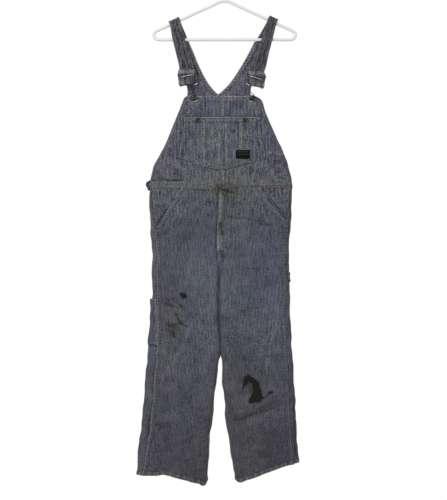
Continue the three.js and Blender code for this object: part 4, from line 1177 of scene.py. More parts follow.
def over_front(x, z, lift, extra=0.0, corner_fade=True):
    """Places and outward directions at a height above the front's own surface."""
    y, nx, ny = np.zeros_like(x), np.zeros_like(x), np.zeros_like(x)
    middle = np.where(z > WAIST, CENTRE_BIB, -15)
    for index in np.ndindex(x.shape):
        points = front_section(-1 if x[index] < middle[index] else 1, z[index])
        y[index] = np.interp(x[index], points[:, 0], points[:, 1])
        nx[index] = np.interp(x[index], points[:, 0], points[:, 2])
        ny[index] = np.interp(x[index], points[:, 0], points[:, 3])
    size = np.hypot(nx, ny)
    nx, ny = nx / size, ny / size
    height = relief("front", x, z) + lift + extra
    places = np.stack([x + height * nx, y + height * ny, z], axis=-1)
    return places, np.stack([nx, ny, np.zeros_like(nx)], axis=-1)


def grid(zs, edges, columns):
    """Rows of evenly spaced x between two edges, with their heights."""
    x = np.array([np.linspace(*edges(z), columns + 1) for z in zs])
    return x, np.repeat(np.array(zs)[:, None], columns + 1, axis=1)


def overlay(name, x, z, lift, thick, extra=0.0, wear_and_light=None, shade_and_dirt=None, u=None):
    places, out = over_front(x, z, lift + thick, extra)
    u = x if u is None else u
    return cloth(name, [name], places, out, u, -z, "front", wear_and_light=wear_and_light, shade_and_dirt=shade_and_dirt, thick=thick,
                 lay_on="front")


# Waist seam band, centre seam bands and the bib pocket
for NAME, HAND in (("left", -1), ("right", 1)):
    OUTER = 1 if HAND < 0 else 2
    ZS = np.linspace(-627.5, -647.4, 13)
    ROWS = []
    for Z in ZS:
        ROW, S, LEFT = spaced(section(Z, HAND, -1, CENTRE_BIB, 0, 4, 0), 120)
        ROWS.append(np.column_stack([ROW, S, LEFT]))
    X, Y, NX, NY, S, LEFT = (np.array(ROWS)[..., k] for k in range(6))
    Z = np.repeat(ZS[:, None], 121, axis=1)
    TUCK = 0.5 + 0.5 * np.sin(S * 0.55 + 1.2 * np.sin(S * 0.12))
    H = smooth(S / 16) * relief("front", X, Z)
    H = H + 1.5 + 0.3 * TUCK
    DOWN = (-627.5 - Z) / 19.9
    TOP_EDGE = -627.5 - 6.5 * smooth((X - 10) / 40)
    Z = TOP_EDGE + (-647.4 - TOP_EDGE) * DOWN
    PLACES = np.stack([X + H * NX, Y + H * NY, Z], axis=-1)
    OUT = np.stack([NX, NY, np.zeros_like(NX)], axis=-1)
    UPPER = edge_wear(Z - TOP_EDGE + 1, width=1.6, strength=0.5) * smooth((X - 30) / 40)
    LOWER = edge_wear(Z + 645.4, width=1.6, strength=0.4) * (1 - smooth((X + 10) / 40))
    WEAR = np.maximum(UPPER, LOWER)
    # Painted shade in the band's trough between its stitch rows
    SHADE_AND_DIRT = 0.4 * np.exp(-(((Z + 638) / 2.6) ** 2)) * (1 - TUCK)
    cloth(f"waist_seam_{NAME}", [f"waist_seam_{NAME}"], PLACES, OUT, -HAND * LEFT + 1.9, -Z, "front",
          wear_and_light=WEAR * (0.4 + 0.6 * TUCK), shade_and_dirt=SHADE_AND_DIRT, thick=1.0, lay_on="front")

for NAME, TOP, FOOT in (("bib_seam_upper", -374, -433), ("bib_seam_lower", -595, -626.5)):
    X, Z = grid(np.linspace(TOP, FOOT, 30 if TOP > -400 else 16), lambda z: (-10.5, -1.5), 8)
    PULL = 0.5 + 0.5 * np.sin(Z * 0.62 + 1.2 * np.sin(Z * 0.09))
    WEAR = edge_wear(X + 10.5, X + 4.2, width=1.3, strength=0.75) * (0.4 + 0.6 * PULL)
    RAISED = 0.3 * PULL + 1.1 * smooth((14 - (BIB_TOP - Z)) / 2)
    overlay(NAME, X, Z, LIFT, 1.0, extra=RAISED, wear_and_light=np.maximum(WEAR, 0.12))

POCKET_LINES = [
    # x at the top, x at the foot, z at the top, z at the foot
    (-58.5, -58, -440, -566),
    (7, 8, -459, -562),
    (-16.5, -16.5, -440, -590),
    (43.5, 44.5, -440, -534),
    (49.4, 50.6, -440, -534),
]


def bib_pocket():
    down = np.linspace(0, 1, 44)[:, None]
    across = np.linspace(0, 1, 85)[None, :]
    beside = POCKET[0][0] + (POCKET[4][0] - POCKET[0][0]) * down
    left, right = lookup(POCKET, 1, beside), lookup(POCKET, 2, beside)
    x = left + (right - left) * across
    z = POCKET[0][0] + (lookup(POCKET_FOOT, 1, x) - POCKET[0][0]) * down
    top = POCKET[0][0] - z
    side = np.minimum(x - left, right - x)
    foot = z - lookup(POCKET_FOOT, 1, x)
    tuck = 0.5 + 0.5 * np.sin(x * 0.5 + 1.3 * np.sin(x * 0.11))
    extra = 1.1 * smooth(side / 20) * smooth(foot / 24) * (0.4 + 0.6 * smooth(1 - top / 60))
    extra = extra + (0.7 + 0.3 * tuck) * smooth((13.5 - top) / 1.5)
    patchy = 0.5 + 0.5 * np.sin(x * 0.071 + 1.7 * np.sin(z * 0.052))
    wear_and_light = edge_wear(top, width=2.0, strength=0.75)
    wear_and_light = np.maximum(wear_and_light, edge_wear(side, foot, width=2.0, strength=0.6) * patchy**2)
    wear_and_light = np.maximum(wear_and_light, 0.22 * smooth((13 - top) / 2))
    for x0, x1, z0, z1 in POCKET_LINES:
        away, along = to_line(x, z, [(x0, z0), (x1, z1)])
        extra = extra - 0.75 * np.exp(-((away / 3.6) ** 2)) * smooth((z0 + 6 - z) / 8)
        wear_and_light = np.maximum(wear_and_light, 0.28 * np.exp(-(((away - 3.2) / 1.6) ** 2)))
    wear_and_light = np.maximum(wear_and_light, 0.3 * np.exp(-(((x + 70) / 5) ** 2)) * smooth((540 + z) / 40 + 1))
    extra = np.maximum(extra, -0.3)
    rim = np.minimum(side, foot)
    wave = 0.5 + 0.5 * np.sin(x * 0.6 + z * 0.52)
    # Painted shade in the troughs beside the pocket's stitched edges and under its top hem
    shade_and_dirt = 0.6 * np.exp(-(((rim - 5.2) / 2.2) ** 2)) * (1 - wave)
    shade_and_dirt = np.maximum(shade_and_dirt, 0.45 * np.exp(-(((rim - 11.0) / 2.0) ** 2)) * wave)
    shade_and_dirt = np.maximum(shade_and_dirt, 0.6 * np.exp(-(((top - 7.0) / 2.2) ** 2)) * (1 - tuck))
    shade_and_dirt = np.maximum(shade_and_dirt, 0.6 * np.exp(-(((top - 15.0) / 1.7) ** 2)) * (1 - 0.5 * tuck))
    overlay("bib_pocket", x, z, LIFT + 0.1, CLOTH, extra=extra, wear_and_light=wear_and_light, shade_and_dirt=shade_and_dirt)


bib_pocket()

# Fly flap, slash pocket bands


def fly():
    zs = np.linspace(FLY[0][0], FLY[-1][0], 110)
    x, z = grid(zs, lambda height: (lookup(FLY, 1, height), lookup(FLY, 2, height)), 24)
    left = x - x[:, :1]
    right = x[:, -1:] - x
    pull = 0.5 + 0.5 * np.sin(z * 0.4 + 1.4 * np.sin(z * 0.07))
    extra = 0.7 * np.exp(-((left / 5) ** 2)) * (0.4 + 0.6 * pull) + 0.25 * pull
    lower = smooth((-820 - z) / 16)
    extra = extra + 0.9 * lower * np.exp(-(((left - 6) / 4) ** 2))
    wear_and_light = edge_wear(left - 7, width=5, strength=0.4) * (1 - 0.8 * smooth((-740 - z) / 16)) * (0.5 + 0.5 * pull)
    wear_and_light = np.maximum(wear_and_light, edge_wear(right, width=1.6, strength=0.1))
    wear_and_light = np.maximum(wear_and_light, 0.4 * np.exp(-(((z + 816) / 13) ** 2)) * np.exp(-((left / 12) ** 2)))
    # Painted shade in the trough beside the fly's stitched line
    shade_and_dirt = 0.45 * np.exp(-(((left - 17) / 2.6) ** 2)) * pull
    overlay("fly", x, z, LIFT + 0.1, CLOTH, extra=extra, wear_and_light=wear_and_light, shade_and_dirt=shade_and_dirt, u=left + 0.9)


fly()


def pocket_band(name, hand):
    column = 1 if hand < 0 else 2
    zs = np.linspace(WAIST - 1.5, -769, 88)
    rows = []
    for z in zs:
        opening = lookup(SLASH, column, z)
        whole = leg_section(z, hand, -1, start=0)
        row, s, left = spaced(ended(trimmed(whole, hand, opening), hand, opening - hand * 13), 8, trim=0)
        rows.append(np.column_stack([row, s, left]))
    x, y, nx, ny, s, left = (np.array(rows)[..., k] for k in range(6))
    z = np.repeat(zs[:, None], 9, axis=1)
    pull = 0.5 + 0.5 * np.sin(z * 0.95 + 1.3 * np.sin(z * 0.1))
    height = relief("front", x, z) + LIFT + 0.1 + 1.2 + 0.35 * pull * np.sin(math.pi * s / 13)
    places = np.stack([x + height * nx, y + height * ny, z], axis=-1)
    out = np.stack([nx, ny, np.zeros_like(nx)], axis=-1)
    other = 0.5 + 0.5 * np.sin(z * 0.95 + 1.3 * np.sin(z * 0.1) + 2.6)
    wear_and_light = 0.62 * pull**2 * np.exp(-(((s - 3) / 2.8) ** 2)) + 0.55 * other**2 * np.exp(-(((s - 10) / 2.6) ** 2))
    # Painted shade in the trough between the band's two stitch rows
    shade_and_dirt = 0.8 * np.exp(-(((s - 6.4) / 2.4) ** 2)) * (0.3 + 0.7 * (1 - pull))
    cloth(f"pocket_band_{name}", [f"pocket_band_{name}"], places, out, s + 0.4, -z, "front", wear_and_light=wear_and_light, shade_and_dirt=shade_and_dirt,
          thick=1.2, lay_on="front")


for NAME, HAND in (("left", -1), ("right", 1)):
    pocket_band(NAME, HAND)

# The high back, whose inner side is seen above the bib


def back_bib(name, hand):
    outer_column, inner_column = (1, 2) if hand < 0 else (4, 3)
    zs = np.r_[np.linspace(BACK_TOP, V_POINT, 90)[:-1], np.linspace(V_POINT, WAIST, 76)]
    rows = []
    for z in zs:
        outer, inner = lookup(BACK_EDGE, outer_column, z), lookup(BACK_EDGE, inner_column, z)
        if z < BIB_TOP:
            points = trimmed(section(z, hand, 1, inner, 0, 4, 0), hand, outer)
        else:
            half = lookup(DEPTH, 1, z)
            points = np.array([[outer, half, 0, 1], [inner, half, 0, 1]], float)
        row, s, left = spaced(points, 44, trim=0)
        rows.append(np.column_stack([row, s, left]))
    x, y, nx, ny, s, left = (np.array(rows)[..., k] for k in range(6))
    z = np.repeat(zs[:, None], 45, axis=1)
    neck = np.where(z > V_POINT, left, 60) * 0.78
    armhole = np.where(z > -600, s, 60) * 0.9
    low = smooth(np.minimum(s, left + 6) / 18) * smooth((z - WAIST + 4) / 10)
    height = low * relief("back", x, z)
    hem = np.minimum(neck, armhole)
    tuck = 0.5 + 0.5 * np.sin(z * 0.5 + 1.2 * np.sin(z * 0.1))
    height += (0.5 + 0.25 * tuck) * smooth((10.5 - hem) / 1.6)
    places = np.stack([x + height * nx, y + height * ny, z], axis=-1)
    out = np.stack([nx, ny, np.zeros_like(nx)], axis=-1)
    rope = 0.5 + 0.5 * np.sin(z * 0.78 + 1.1 * np.sin(z * 0.09))
    wear_and_light = edge_wear(neck, armhole, width=2.4, strength=0.85) * (0.35 + 0.65 * rope)
    wear_and_light = np.maximum(wear_and_light, 0.6 * smooth((10 - hem) / 2) * rope**2)
    u = np.where(hand < 0, x + 19.1, x + 18.7)
    # Painted shade in the troughs of the neck and armhole hems
    shade_and_dirt = 0.85 * np.exp(-(((hem - 4.6) / 4.0) ** 2)) * (1 - rope) ** 1.4
    shade_and_dirt = np.maximum(shade_and_dirt, 0.6 * np.exp(-(((hem - 12.4) / 1.8) ** 2)))
    piece = cloth(f"back_bib_{name}", [f"back_bib_{name}"], places, out, u, -z, "back", wear_and_light=wear_and_light, shade_and_dirt=shade_and_dirt,
                  thick=1.5, lay_on="back")
    return piece


for NAME, HAND in (("left", -1), ("right", 1)):
    back_bib(NAME, HAND)

# Side pocket on the left back panel, tool loop on the right one, and the waist tab


def side_pocket():
    zs = np.linspace(-981, -1119, 47)
    rows = []
    for z in zs:
        row, s, left = spaced(leg_section(z, -1, 1), 52)
        rows.append(np.column_stack([row, s])[:27])
    x, y, nx, ny, s = (np.array(rows)[..., k] for k in range(5))
    z = np.repeat(zs[:, None], 27, axis=1)
    width = s[:, -1:]
    top, foot, side = -981 - z, z + 1119, np.minimum(s, width - s)
    pull = 0.5 + 0.5 * np.sin(s * 0.5 + 1.1 * np.sin(s * 0.15))
    height = smooth(s / 20) * relief("back", x, z) + LIFT + CLOTH + 0.2 + 2.2 * smooth((z + 1010) / 32)
    height += (0.5 + 0.3 * pull) * smooth((12 - top) / 1.5) + 1.2 * smooth(side / 20) * smooth(foot / 20)
    places = np.stack([x + height * nx, y + height * ny, z], axis=-1)
    out = np.stack([nx, ny, np.zeros_like(nx)], axis=-1)
    wear_and_light = np.maximum(edge_wear(top, width=2.0, strength=0.45), edge_wear(side, width=2.0, strength=0.6))
    cloth("side_pocket", ["side_pocket"], places, out, s, -z, "back", wear_and_light=wear_and_light,
          lay_on="back")


def tool_loop():
    u = np.linspace(0, 1, 31)[None, :]
    drop = np.linspace(0, 24, 9)[:, None]
    z = -898 - drop - 34 * u
    x, y, nx, ny = (np.zeros_like(z) for _ in range(4))
    for index in np.ndindex(z.shape):
        row, s, left = spaced(leg_section(z[index], 1, 1), 90)
        place = 3 + 27 * index[1] / 30
        k = int(place)
        point = row[k] + (row[min(k + 1, 90)] - row[k]) * (place - k)
        x[index], y[index], nx[index], ny[index] = point
    height = LIFT + CLOTH + 0.2 + 3.8 * np.sin(math.pi * u) + 0 * z
    height = height + 0.5 * smooth((4 - np.minimum(drop, 24 - drop)) / 1.2)
    places = np.stack([x + height * nx, y + height * ny, z], axis=-1)
    out = np.stack([nx, ny, np.zeros_like(nx)], axis=-1)
    wear_and_light = edge_wear(drop + 0 * z, 24 - drop + 0 * z, width=1.8, strength=0.8)
    cloth("tool_loop", ["tool_loop"], places, out, 74 * u + 0 * z, -drop + 0 * z, "back", wear_and_light=wear_and_light,
          lay_on="back")


def waist_tab():
    zs = np.linspace(-622, -655, 14)
    edge = [(-622, -222.6), (-630, -236), (-636, -238), (-648, -233), (-655, -230)]
    rise = np.array([lookup(edge, 1, z) for z in zs])
    x = np.array([np.linspace(-221.6, far, 9) for far in rise])
    z = np.repeat(zs[:, None], 9, axis=1)
    y = 2.2 - 2.2 * np.sin(math.pi * (x + 221.6) / -17) * np.sin(math.pi * (z + 622) / -33)
    places = np.stack([x, y - 0.6, z], axis=-1)
    out = np.zeros_like(places)
    out[..., 1] = -1
    cloth("waist_tab", ["waist_tab"], places, out, z, x, "front", wear_and_light=edge_wear(z + 622, z + 655, strength=0.5),
          thick=2.4, lay_on="front")


side_pocket()
tool_loop()
waist_tab()

# Straps: down the back, over the hanger's arm, through the slide, round the wire and back up

TUBE = 4.5
APEX, SLOPE, REACH, BAR = -79, math.tan(math.radians(24.6)), 203, -199.5
STRAPS = {
    "left": {
        "over": -149.5,
        "loose": 3.5,
        "tilt": 24.6,
        "width": 34,
        "back": -127.6,
        "path": [(-138.3, -198, 36, 14), (-125, -246, 39, 13), (-116.5, -275, 42, 9)],
        "slide": (-114.5, -314, 8),
        "button": -93,
        "wire": (-92.6, (-80.5, -332.5), (-90.5, -338.2)),
    },
    "right": {
        "over": 143.8,
        "loose": 7,
        "tilt": -24.6,
        "width": 29,
        "back": 112.7,
        "path": [(128.7, -198, 32, -17), (116.5, -240, 35, -14), (105.5, -276, 41, -11)],
        "slide": (97.4, -319, -13),
        "button": 83.4,
        "wire": (76.0, (64.5, -332.5), (76.5, -339.6)),
    },
}
# Height on the slide, depth and width of the run over its bars, round the wire and back up
WEAVE = [
    (24, -12.4, 45),
    (20, -17.2, 50),
    (15.5, -19.0, 52),
    (10.5, -17.8, 51),
    (6, -14.4, 48),
    (2.5, -13.4, 47),
    (-2, -14.8, 47),
    (-8, -17.2, 48),
    (-14, -17.6, 48),
    (-19.5, -16.4, 45),
    (-22.6, -13, 38),
    (-20, -9, 40),
    (-12, -8.4, 43),
    (0, -8.4, 42),
    (12, -8.4, 42),
]


def arm(x):
    return APEX - SLOPE * abs(x)


def run_through(points, count):
    """Even points on a Catmull-Rom curve through stations."""
    p = np.array(points, float)
    ends = np.vstack([2 * p[0] - p[1], p, 2 * p[-1] - p[-2]])
    t = np.linspace(0, len(p) - 1, count)
    k = np.minimum(t.astype(int), len(p) - 2)
    f = (t - k)[:, None]
    a, b, c, d = ends[k], ends[k + 1], ends[k + 2], ends[k + 3]
    return 0.5 * (2 * b + (c - a) * f + (2 * a - 5 * b + 4 * c - d) * f**2 + (3 * b - a - 3 * c + d) * f**3)


STRAP_LINES = {}


def strap(name):
    part = STRAPS[name]
    lean = math.radians(part["tilt"])
    up = (-math.sin(lean), math.cos(lean))
    over, across_arm = part["over"], part["width"]
    radius = TUBE + GAP + 0.15 + 1.2
    half = lookup(DEPTH, 1, BACK_TOP)
    stations = [(part["back"], half - 0.8, BACK_TOP + GAP, 37.5, 0)]
    middle = (part["back"] + over) / 2
    stations.append((middle, radius + 0.1, (BACK_TOP + arm(over)) / 2, across_arm + 1, part["tilt"]))
    for turn in (0, 45, 90, 135, 180):
        t = math.radians(turn)
        rise = radius * math.sin(t)
        rise += part["loose"] * math.sin(t) ** 2
        stations.append((over + rise * up[0], radius * math.cos(t), arm(over) + rise * up[1], across_arm, part["tilt"]))
    for (x, z, wide, angle), y in zip(part["path"], (-6.9, -9, -10.8)):
        stations.append((x, y, z, wide, angle))
    sx, sz, tilt = part["slide"]
    for dz, y, wide in WEAVE:
        lower = smooth((4 - dz) / 24) * (8 if y < -9.5 else 0)
        stations.append((sx, y, sz + dz, wide, tilt + math.copysign(lower, tilt)))
    run = run_through(stations, 230)
    length = np.r_[0, np.cumsum(np.linalg.norm(np.diff(run[:, :3], axis=0), axis=1))]
    even = np.linspace(0, length[-1], 230)
    run = np.stack([np.interp(even, length, run[:, c]) for c in range(5)], axis=1)
    along = np.gradient(run[:, :3], axis=0)
    along /= np.linalg.norm(along, axis=1)[:, None]
    angle = np.radians(run[:, 4])
    side = np.stack([np.cos(angle), np.zeros_like(angle), np.sin(angle)], axis=1)
    out = np.cross(along, side)
    out /= np.linalg.norm(out, axis=1)[:, None]
    s = np.linspace(-0.5, 0.5, 19)
    wide = run[:, 3]
    from_edge = (0.5 - np.abs(s))[None, :] * wide[:, None]
    away = even[:, None]
    front = smooth((away - 60) / 30)
    gather = 1 - smooth(np.abs(away - (length[-1] - 118)) / 40)
    lengthwise = 0.5 * np.sin(s * 17 + 0.8 * np.sin(away / 23)) + 0.3 * np.sin(s * 31 + away / 37)
    height = 1.2 + 0.5 * smooth((7.5 - from_edge) / 1.2) * smooth(from_edge / 1.0)
    height = height + front * 0.35 * lengthwise * smooth(from_edge / 6)
    height = height + gather * 0.7 * np.sin(s * 24 + 1.1)[None, :] * smooth(from_edge / 5)
    height = np.clip(height, 1.15, 2.6)
    places = run[:, None, :3] + s[None, :, None] * wide[:, None, None] * side[:, None, :]
    places = places + height[..., None] * out[:, None, :]
    normals = np.repeat(out[:, None, :], len(s), axis=1)
    wear_and_light = edge_wear(from_edge, width=2.0, strength=0.5) * (0.5 + 0.5 * np.sin(away / 5 + s * 3))
    near = places[..., 2] - sz
    facing = places[..., 1] < -13
    # Painted highlight on the strap's roll over the slide's top bar, with wear at its corners; the bottom turn round
    # the wire is lighter on its outer side
    roll = np.exp(-(((near - 15) / 7) ** 2)) * facing
    corners = np.exp(-(((np.abs(s) - 0.38) / 0.12) ** 2))[None, :]
    wear_and_light = np.maximum(wear_and_light, roll * (0.42 + 0.45 * corners))
    bottom = np.exp(-(((near + 19) / 5) ** 2)) * facing
    outer = -1 if name == "left" else 1
    wear_and_light = np.maximum(wear_and_light, bottom * (0.3 + 0.4 * np.exp(-(((s * outer - 0.4) / 0.14) ** 2)))[None, :])
    wear_and_light = np.maximum(wear_and_light, 0.2 * np.clip(height - 1.6, 0, 1))
    for line, strength in ((-0.24, 0.35), (0.08, 0.25), (0.3, 0.5)):
        bend = line * outer * -1 + 0.03 * np.sin(away / 19)
        streak = 0.55 + 0.45 * np.sin(away / 9 + line * 30)
        wear_and_light = np.maximum(wear_and_light, front * strength * streak * np.exp(-(((s - bend) / 0.035) ** 2)) * (near > 30))
    u = s[None, :] * wide[:, None] + 1.9
    ripple = 0.5 + 0.5 * np.sin(away * 0.62 + 1.2 * np.sin(away * 0.1))
    # Painted shade: in the trough beside the edge stitching, in the troughs of the lengthwise creases, and along the
    # slide's bars and the roll's edges
    shade_and_dirt = 0.7 * np.exp(-(((from_edge - 5.0) / 1.8) ** 2)) * (1 - 0.6 * ripple)
    shade_and_dirt = np.maximum(shade_and_dirt, front * 0.7 * smooth(-lengthwise * 2.2) * smooth((from_edge - 5) / 4))
    for line in (-0.16, 0.17, 0.38):
        bend = line * outer * -1 + 0.03 * np.sin(away / 19)
        shade_and_dirt = np.maximum(shade_and_dirt, front * 0.85 * np.exp(-(((s - bend) / 0.06) ** 2)) * (near > 30))
    shade_and_dirt = np.maximum(shade_and_dirt, 0.8 * np.exp(-(((near - 25.5) / 2.6) ** 2)) * facing)
    shade_and_dirt = np.maximum(shade_and_dirt, 0.8 * np.exp(-(((near - 7.2) / 1.4) ** 2)) * facing)
    shade_and_dirt = np.maximum(shade_and_dirt, 0.85 * np.exp(-(((near - 1.6) / 1.6) ** 2)) * facing)
    cloth(f"strap_{name}", [f"strap_{name}"], places, normals, u, -away + 0 * s[None, :], "front", wear_and_light=wear_and_light,
          shade_and_dirt=shade_and_dirt, thick=2.3)
    STRAP_LINES[name] = (places, normals, even)


strap("left")
strap("right")


def tube(name, nodes, points, radius, material, slot, closed=False, sides=12):
    """A round bar along a smooth line through points in mm."""
    line = np.array(points, float)
    if closed:
        wrapped = np.vstack([line[-3:], line, line[:3]])
        count = 12
        fine = run_through(wrapped, (len(wrapped) - 1) * count + 1)[3 * count : -3 * count + count]
        fine = fine[: len(line) * count]
    else:
        fine = run_through(line, (len(line) - 1) * 8 + 1)
    bm = bmesh.new()
    total = len(fine)
    rings = []
    last = None
    reference = Vector((0, 1, 0))
    for k in range(total):
        before = fine[k - 1] if closed or k else fine[0]
        after = fine[(k + 1) % total] if closed or k < total - 1 else fine[-1]
        ahead = Vector(after - before).normalized()
        if abs(ahead.dot(reference)) > 0.95 and last is None:
            reference = Vector((1, 0, 0))
        first = last - ahead * last.dot(ahead) if last is not None else reference - ahead * reference.dot(ahead)
        first.normalize()
        last = first
        turn = Matrix((first, ahead.cross(first), ahead)).transposed().to_4x4()
        turn.translation = Vector(fine[k]) * MM
        ring = bmesh.ops.create_circle(bm, segments=sides, radius=radius * MM, matrix=turn)["verts"]
        rings.append(ring)
    loops = [sorted({e for vert in ring for e in vert.link_edges}, key=lambda e: e.index) for ring in rings]
    if closed:
        loops.append(loops[0])
    for one, two in zip(loops, loops[1:]):
        bmesh.ops.bridge_loops(bm, edges=one + two)
    if not closed:
        for ring in (rings[0], rings[-1]):
            bmesh.ops.contextual_create(bm, geom=ring)
    bmesh.ops.recalc_face_normals(bm, faces=bm.faces[:])
    return made(name, bm, [material], slot, nodes)


# Hanger
def hanger():
    z_end = arm(REACH)
    left = [(-12, arm(12)), (-REACH + 10, arm(REACH - 10)), (-REACH - 6, z_end - 3.5)]
    left += [(-REACH - 11, z_end - 13), (-REACH - 4, BAR + 2.4), (-REACH + 12, BAR)]
    right = [(-x, z) for x, z in reversed(left)]

    def between(a, b, n):
        return [tuple(np.array(a) + (np.array(b) - np.array(a)) * (k + 1) / (n + 1)) for k in range(n)]

    loop = left[:1] + between(left[0], left[1], 5) + left[1:] + between(left[5], right[0], 9)
    loop += right[:5] + between(right[4], right[5], 5) + right[5:]
    tube("hanger_tube", ["hanger_frame"], [(x, 0, z) for x, z in loop], TUBE, PLASTIC, "white_plastic", True, 20)
    hook = [(0, 0, APEX + 0.9), (0, 0, -64), (0, 0, -52)]
    for degrees in range(-62, 173, 18):
        t = math.radians(degrees)
        hook.append((24.5 * math.cos(t), 0, -21 + 24.5 * math.sin(t)))
    tube("hanger_hook_bar", ["hanger_hook"], hook, 3.5, PLASTIC, "white_plastic", False, 16)


hanger()

# Slides, wire loops and buttons


def hardware(name):
    part = STRAPS[name]
    sx, sz, tilt = part["slide"]
    lean = math.radians(tilt)

    def on_slide(a, y, b):
        return (sx + a * math.cos(lean) - b * math.sin(lean), y, sz + a * math.sin(lean) + b * math.cos(lean))

    frame_line = []
    for a, b in ((-22, 14), (0, 14), (22, 14), (24, 12), (24, 0), (24, -10), (22, -12)):
        frame_line.append(on_slide(a, -13.6 if b > 0 else -12.6, b))
    for a, b in ((0, -12), (-22, -12), (-24, -10), (-24, 0), (-24, 12)):
        frame_line.append(on_slide(a, -13.6 if b > 0 else -12.6, b))
    # The rim takes the dark copy of pewter, painted shade
    tube(f"slide_rim_{name}", [f"slide_{name}"], frame_line, 1.3, PEWTER_SHADED, "pewter", True, 10)
    inward = 1 if name == "left" else -1
    bar = [(-24, -11.8), (-19.5, -12.4), (-16, -15.4), (-13, -17.6), (-6, -17.9), (0, -17.9)]
    bar += [(7, -17.9), (14, -17.6), (19, -15.6), (22, -13.6)]
    level = 2.8 if name == "left" else 1.4
    bar = [on_slide(a * inward, y, level + 0.06 * a) for a, y in bar]
    # Painted highlight: the slide's front bar in the bright copy of pewter
    tube(f"slide_bar_{name}", [], bar, 1.15, PEWTER_HIGHLIGHT, "pewter", False, 10)

    x = part["button"]
    y = -lookup(DEPTH, 1, -378) - GAP - 2.3 - 0.9
    ring = 5 + GAP + 1.3 + 0.3
    neck, corner, shoulder = part["wire"]
    wire = [on_slide(-18 * inward, -11.6, -18.6), on_slide(0, -11.9, -18.8), (*corner[:1], -13.2, corner[1] + 2.5)]
    wire += [(corner[0], -14.2, corner[1]), (shoulder[0], -15.6, shoulder[1]), (neck + 2.4 * inward, -15.6, -348)]
    wire += [(neck + 2.6 * inward, y - 0.4, -360), (x + 5.4 * inward, y, -369)]
    for degrees in (-10, -40, -70, -110, -140, -170):
        t = math.radians(degrees)
        wire.append((x + inward * ring * math.cos(t), y, -378 + ring * math.sin(t)))
    wire += [(x - 5.4 * inward, y, -369), (neck - 2.6 * inward, y - 0.4, -360)]
    wire += [(neck - 2.4 * inward, -15, -348), (neck - 7 * inward, -13, -341), on_slide(-18 * inward, -11.6, -21.2)]
    # The wire loop takes the dark copy of pewter, painted shade
    tube(f"wire_loop_{name}", [f"wire_{name}"], wire, 1.25, PEWTER_SHADED, "pewter", True, 10)
    # Painted highlight: a short bright piece laid over the wire's shoulder for its glint
    bright = [(corner[0], -14.3, corner[1]), (shoulder[0], -15.7, shoulder[1])]
    middle = [(bright[0][k] + bright[1][k]) / 2 for k in range(3)]
    tube(f"wire_shoulder_glint_{name}", [], [bright[0], middle, bright[1]], 1.9, PEWTER_HIGHLIGHT, "pewter", False, 10)
    # Painted highlight: a bright arc below the button head for the glint of the wire loop's bottom
    foot = []
    for degrees in (-130, -108, -86, -64, -42):
        t = math.radians(degrees)
        foot.append((x + inward * (3 + 9.2 * math.cos(t)), y - 0.2, -378 + 10.2 * math.sin(t)))
    tube(f"wire_foot_glint_{name}", [], foot, 1.5, PEWTER_HIGHLIGHT, "pewter", False, 10)


def turned(name, nodes, profile, x, y, z, material, sides=28):
    """A turned piece about Y from radius and height above the cloth, spun from its profile."""
    bm = bmesh.new()
    line = [bm.verts.new((r * MM, 0, h * MM)) for r, h in profile]
    edges = [bm.edges.new(pair) for pair in zip(line, line[1:])]
    bmesh.ops.spin(bm, geom=line + edges, cent=(0, 0, 0), axis=(0, 0, 1), angle=2 * math.pi, steps=sides)
    bmesh.ops.remove_doubles(bm, verts=bm.verts[:], dist=1e-6)
    bmesh.ops.recalc_face_normals(bm, faces=bm.faces[:])
    spot = Matrix.Translation(Vector((x, y, z)) * MM) @ Matrix.Rotation(math.pi / 2, 4, "X")
    bmesh.ops.transform(bm, matrix=spot, verts=bm.verts[:])
    return made(name, bm, [material], "brass", nodes)


POCKET_BUTTON = [(0, 0), (4, 0), (4, 1.2), (7, 1.4), (7.5, 1.8), (7.5, 2.6), (7, 3.1), (6.2, 3.3), (5.8, 2.7)]
POCKET_BUTTON += [(5.2, 2.4), (4.6, 2.5), (2.5, 2.9), (0, 3.1)]
BIB_BUTTON = [(0, 0), (5, 0), (5, 4.2), (8.4, 4.4), (9, 4.9), (9, 5.6), (8.5, 6.2), (7.6, 6.5), (7.1, 5.9)]
BIB_BUTTON += [(6.4, 5.7), (5.6, 5.9), (3, 6.6), (0, 6.9)]


def front_spot(x, z):
    places, out = over_front(np.array([[x]], float), np.array([[z]], float), 0.0)
    return float(places[0, 0, 1])


for NAME in ("left", "right"):
    hardware(NAME)
    X = STRAPS[NAME]["button"]
    turned(f"button_bib_{NAME}", [f"bib_button_{NAME}"], BIB_BUTTON, X, front_spot(X, -378) - 1.0, -378, BRASS)
for NAME, X in (("left", -79.5), ("right", 62.4)):
    Y = front_spot(X, -444) - LIFT - CLOTH - 1.0
    turned(f"button_pocket_{NAME}", [f"pocket_button_{NAME}"], POCKET_BUTTON, X, Y, -444, BRASS)


def label():
    x, z = grid(np.linspace(-534, -560, 18), lambda height: (34.5, 76.5), 28)
    places, out = over_front(x, z, LIFT + CLOTH + 1.9)
    bm = bmesh.new()
    bmesh.ops.create_grid(bm, x_segments=28, y_segments=17, size=1)
    for vert in bm.verts:
        c, r = round((vert.co.x + 1) * 14), round((1 - vert.co.y) * 8.5)
        vert.co = Vector(places[r, c]) * MM
    bm.normal_update()
    if bm.faces[:][0].normal.y > 0:
        bmesh.ops.reverse_faces(bm, faces=bm.faces[:])
    for face in bm.faces:
        middle = face.calc_center_median() / MM
        inset = min(middle.x - 34.5, 76.5 - middle.x, -534 - middle.z, middle.z + 560)
        line = 39 < middle.x < 70 and (5 < -534 - middle.z < 6.6 or 12.6 < -534 - middle.z < 14.2)
        face.material_index = 1 if line and inset > 2 else 0
    piece = made("label_patch", bm, [LABEL, LABEL_LINE], "label", ["label"])
    shell = piece.modifiers.new("thickness", "SOLIDIFY")
    shell.thickness = 0.8 * MM
    shell.offset = -1


label()

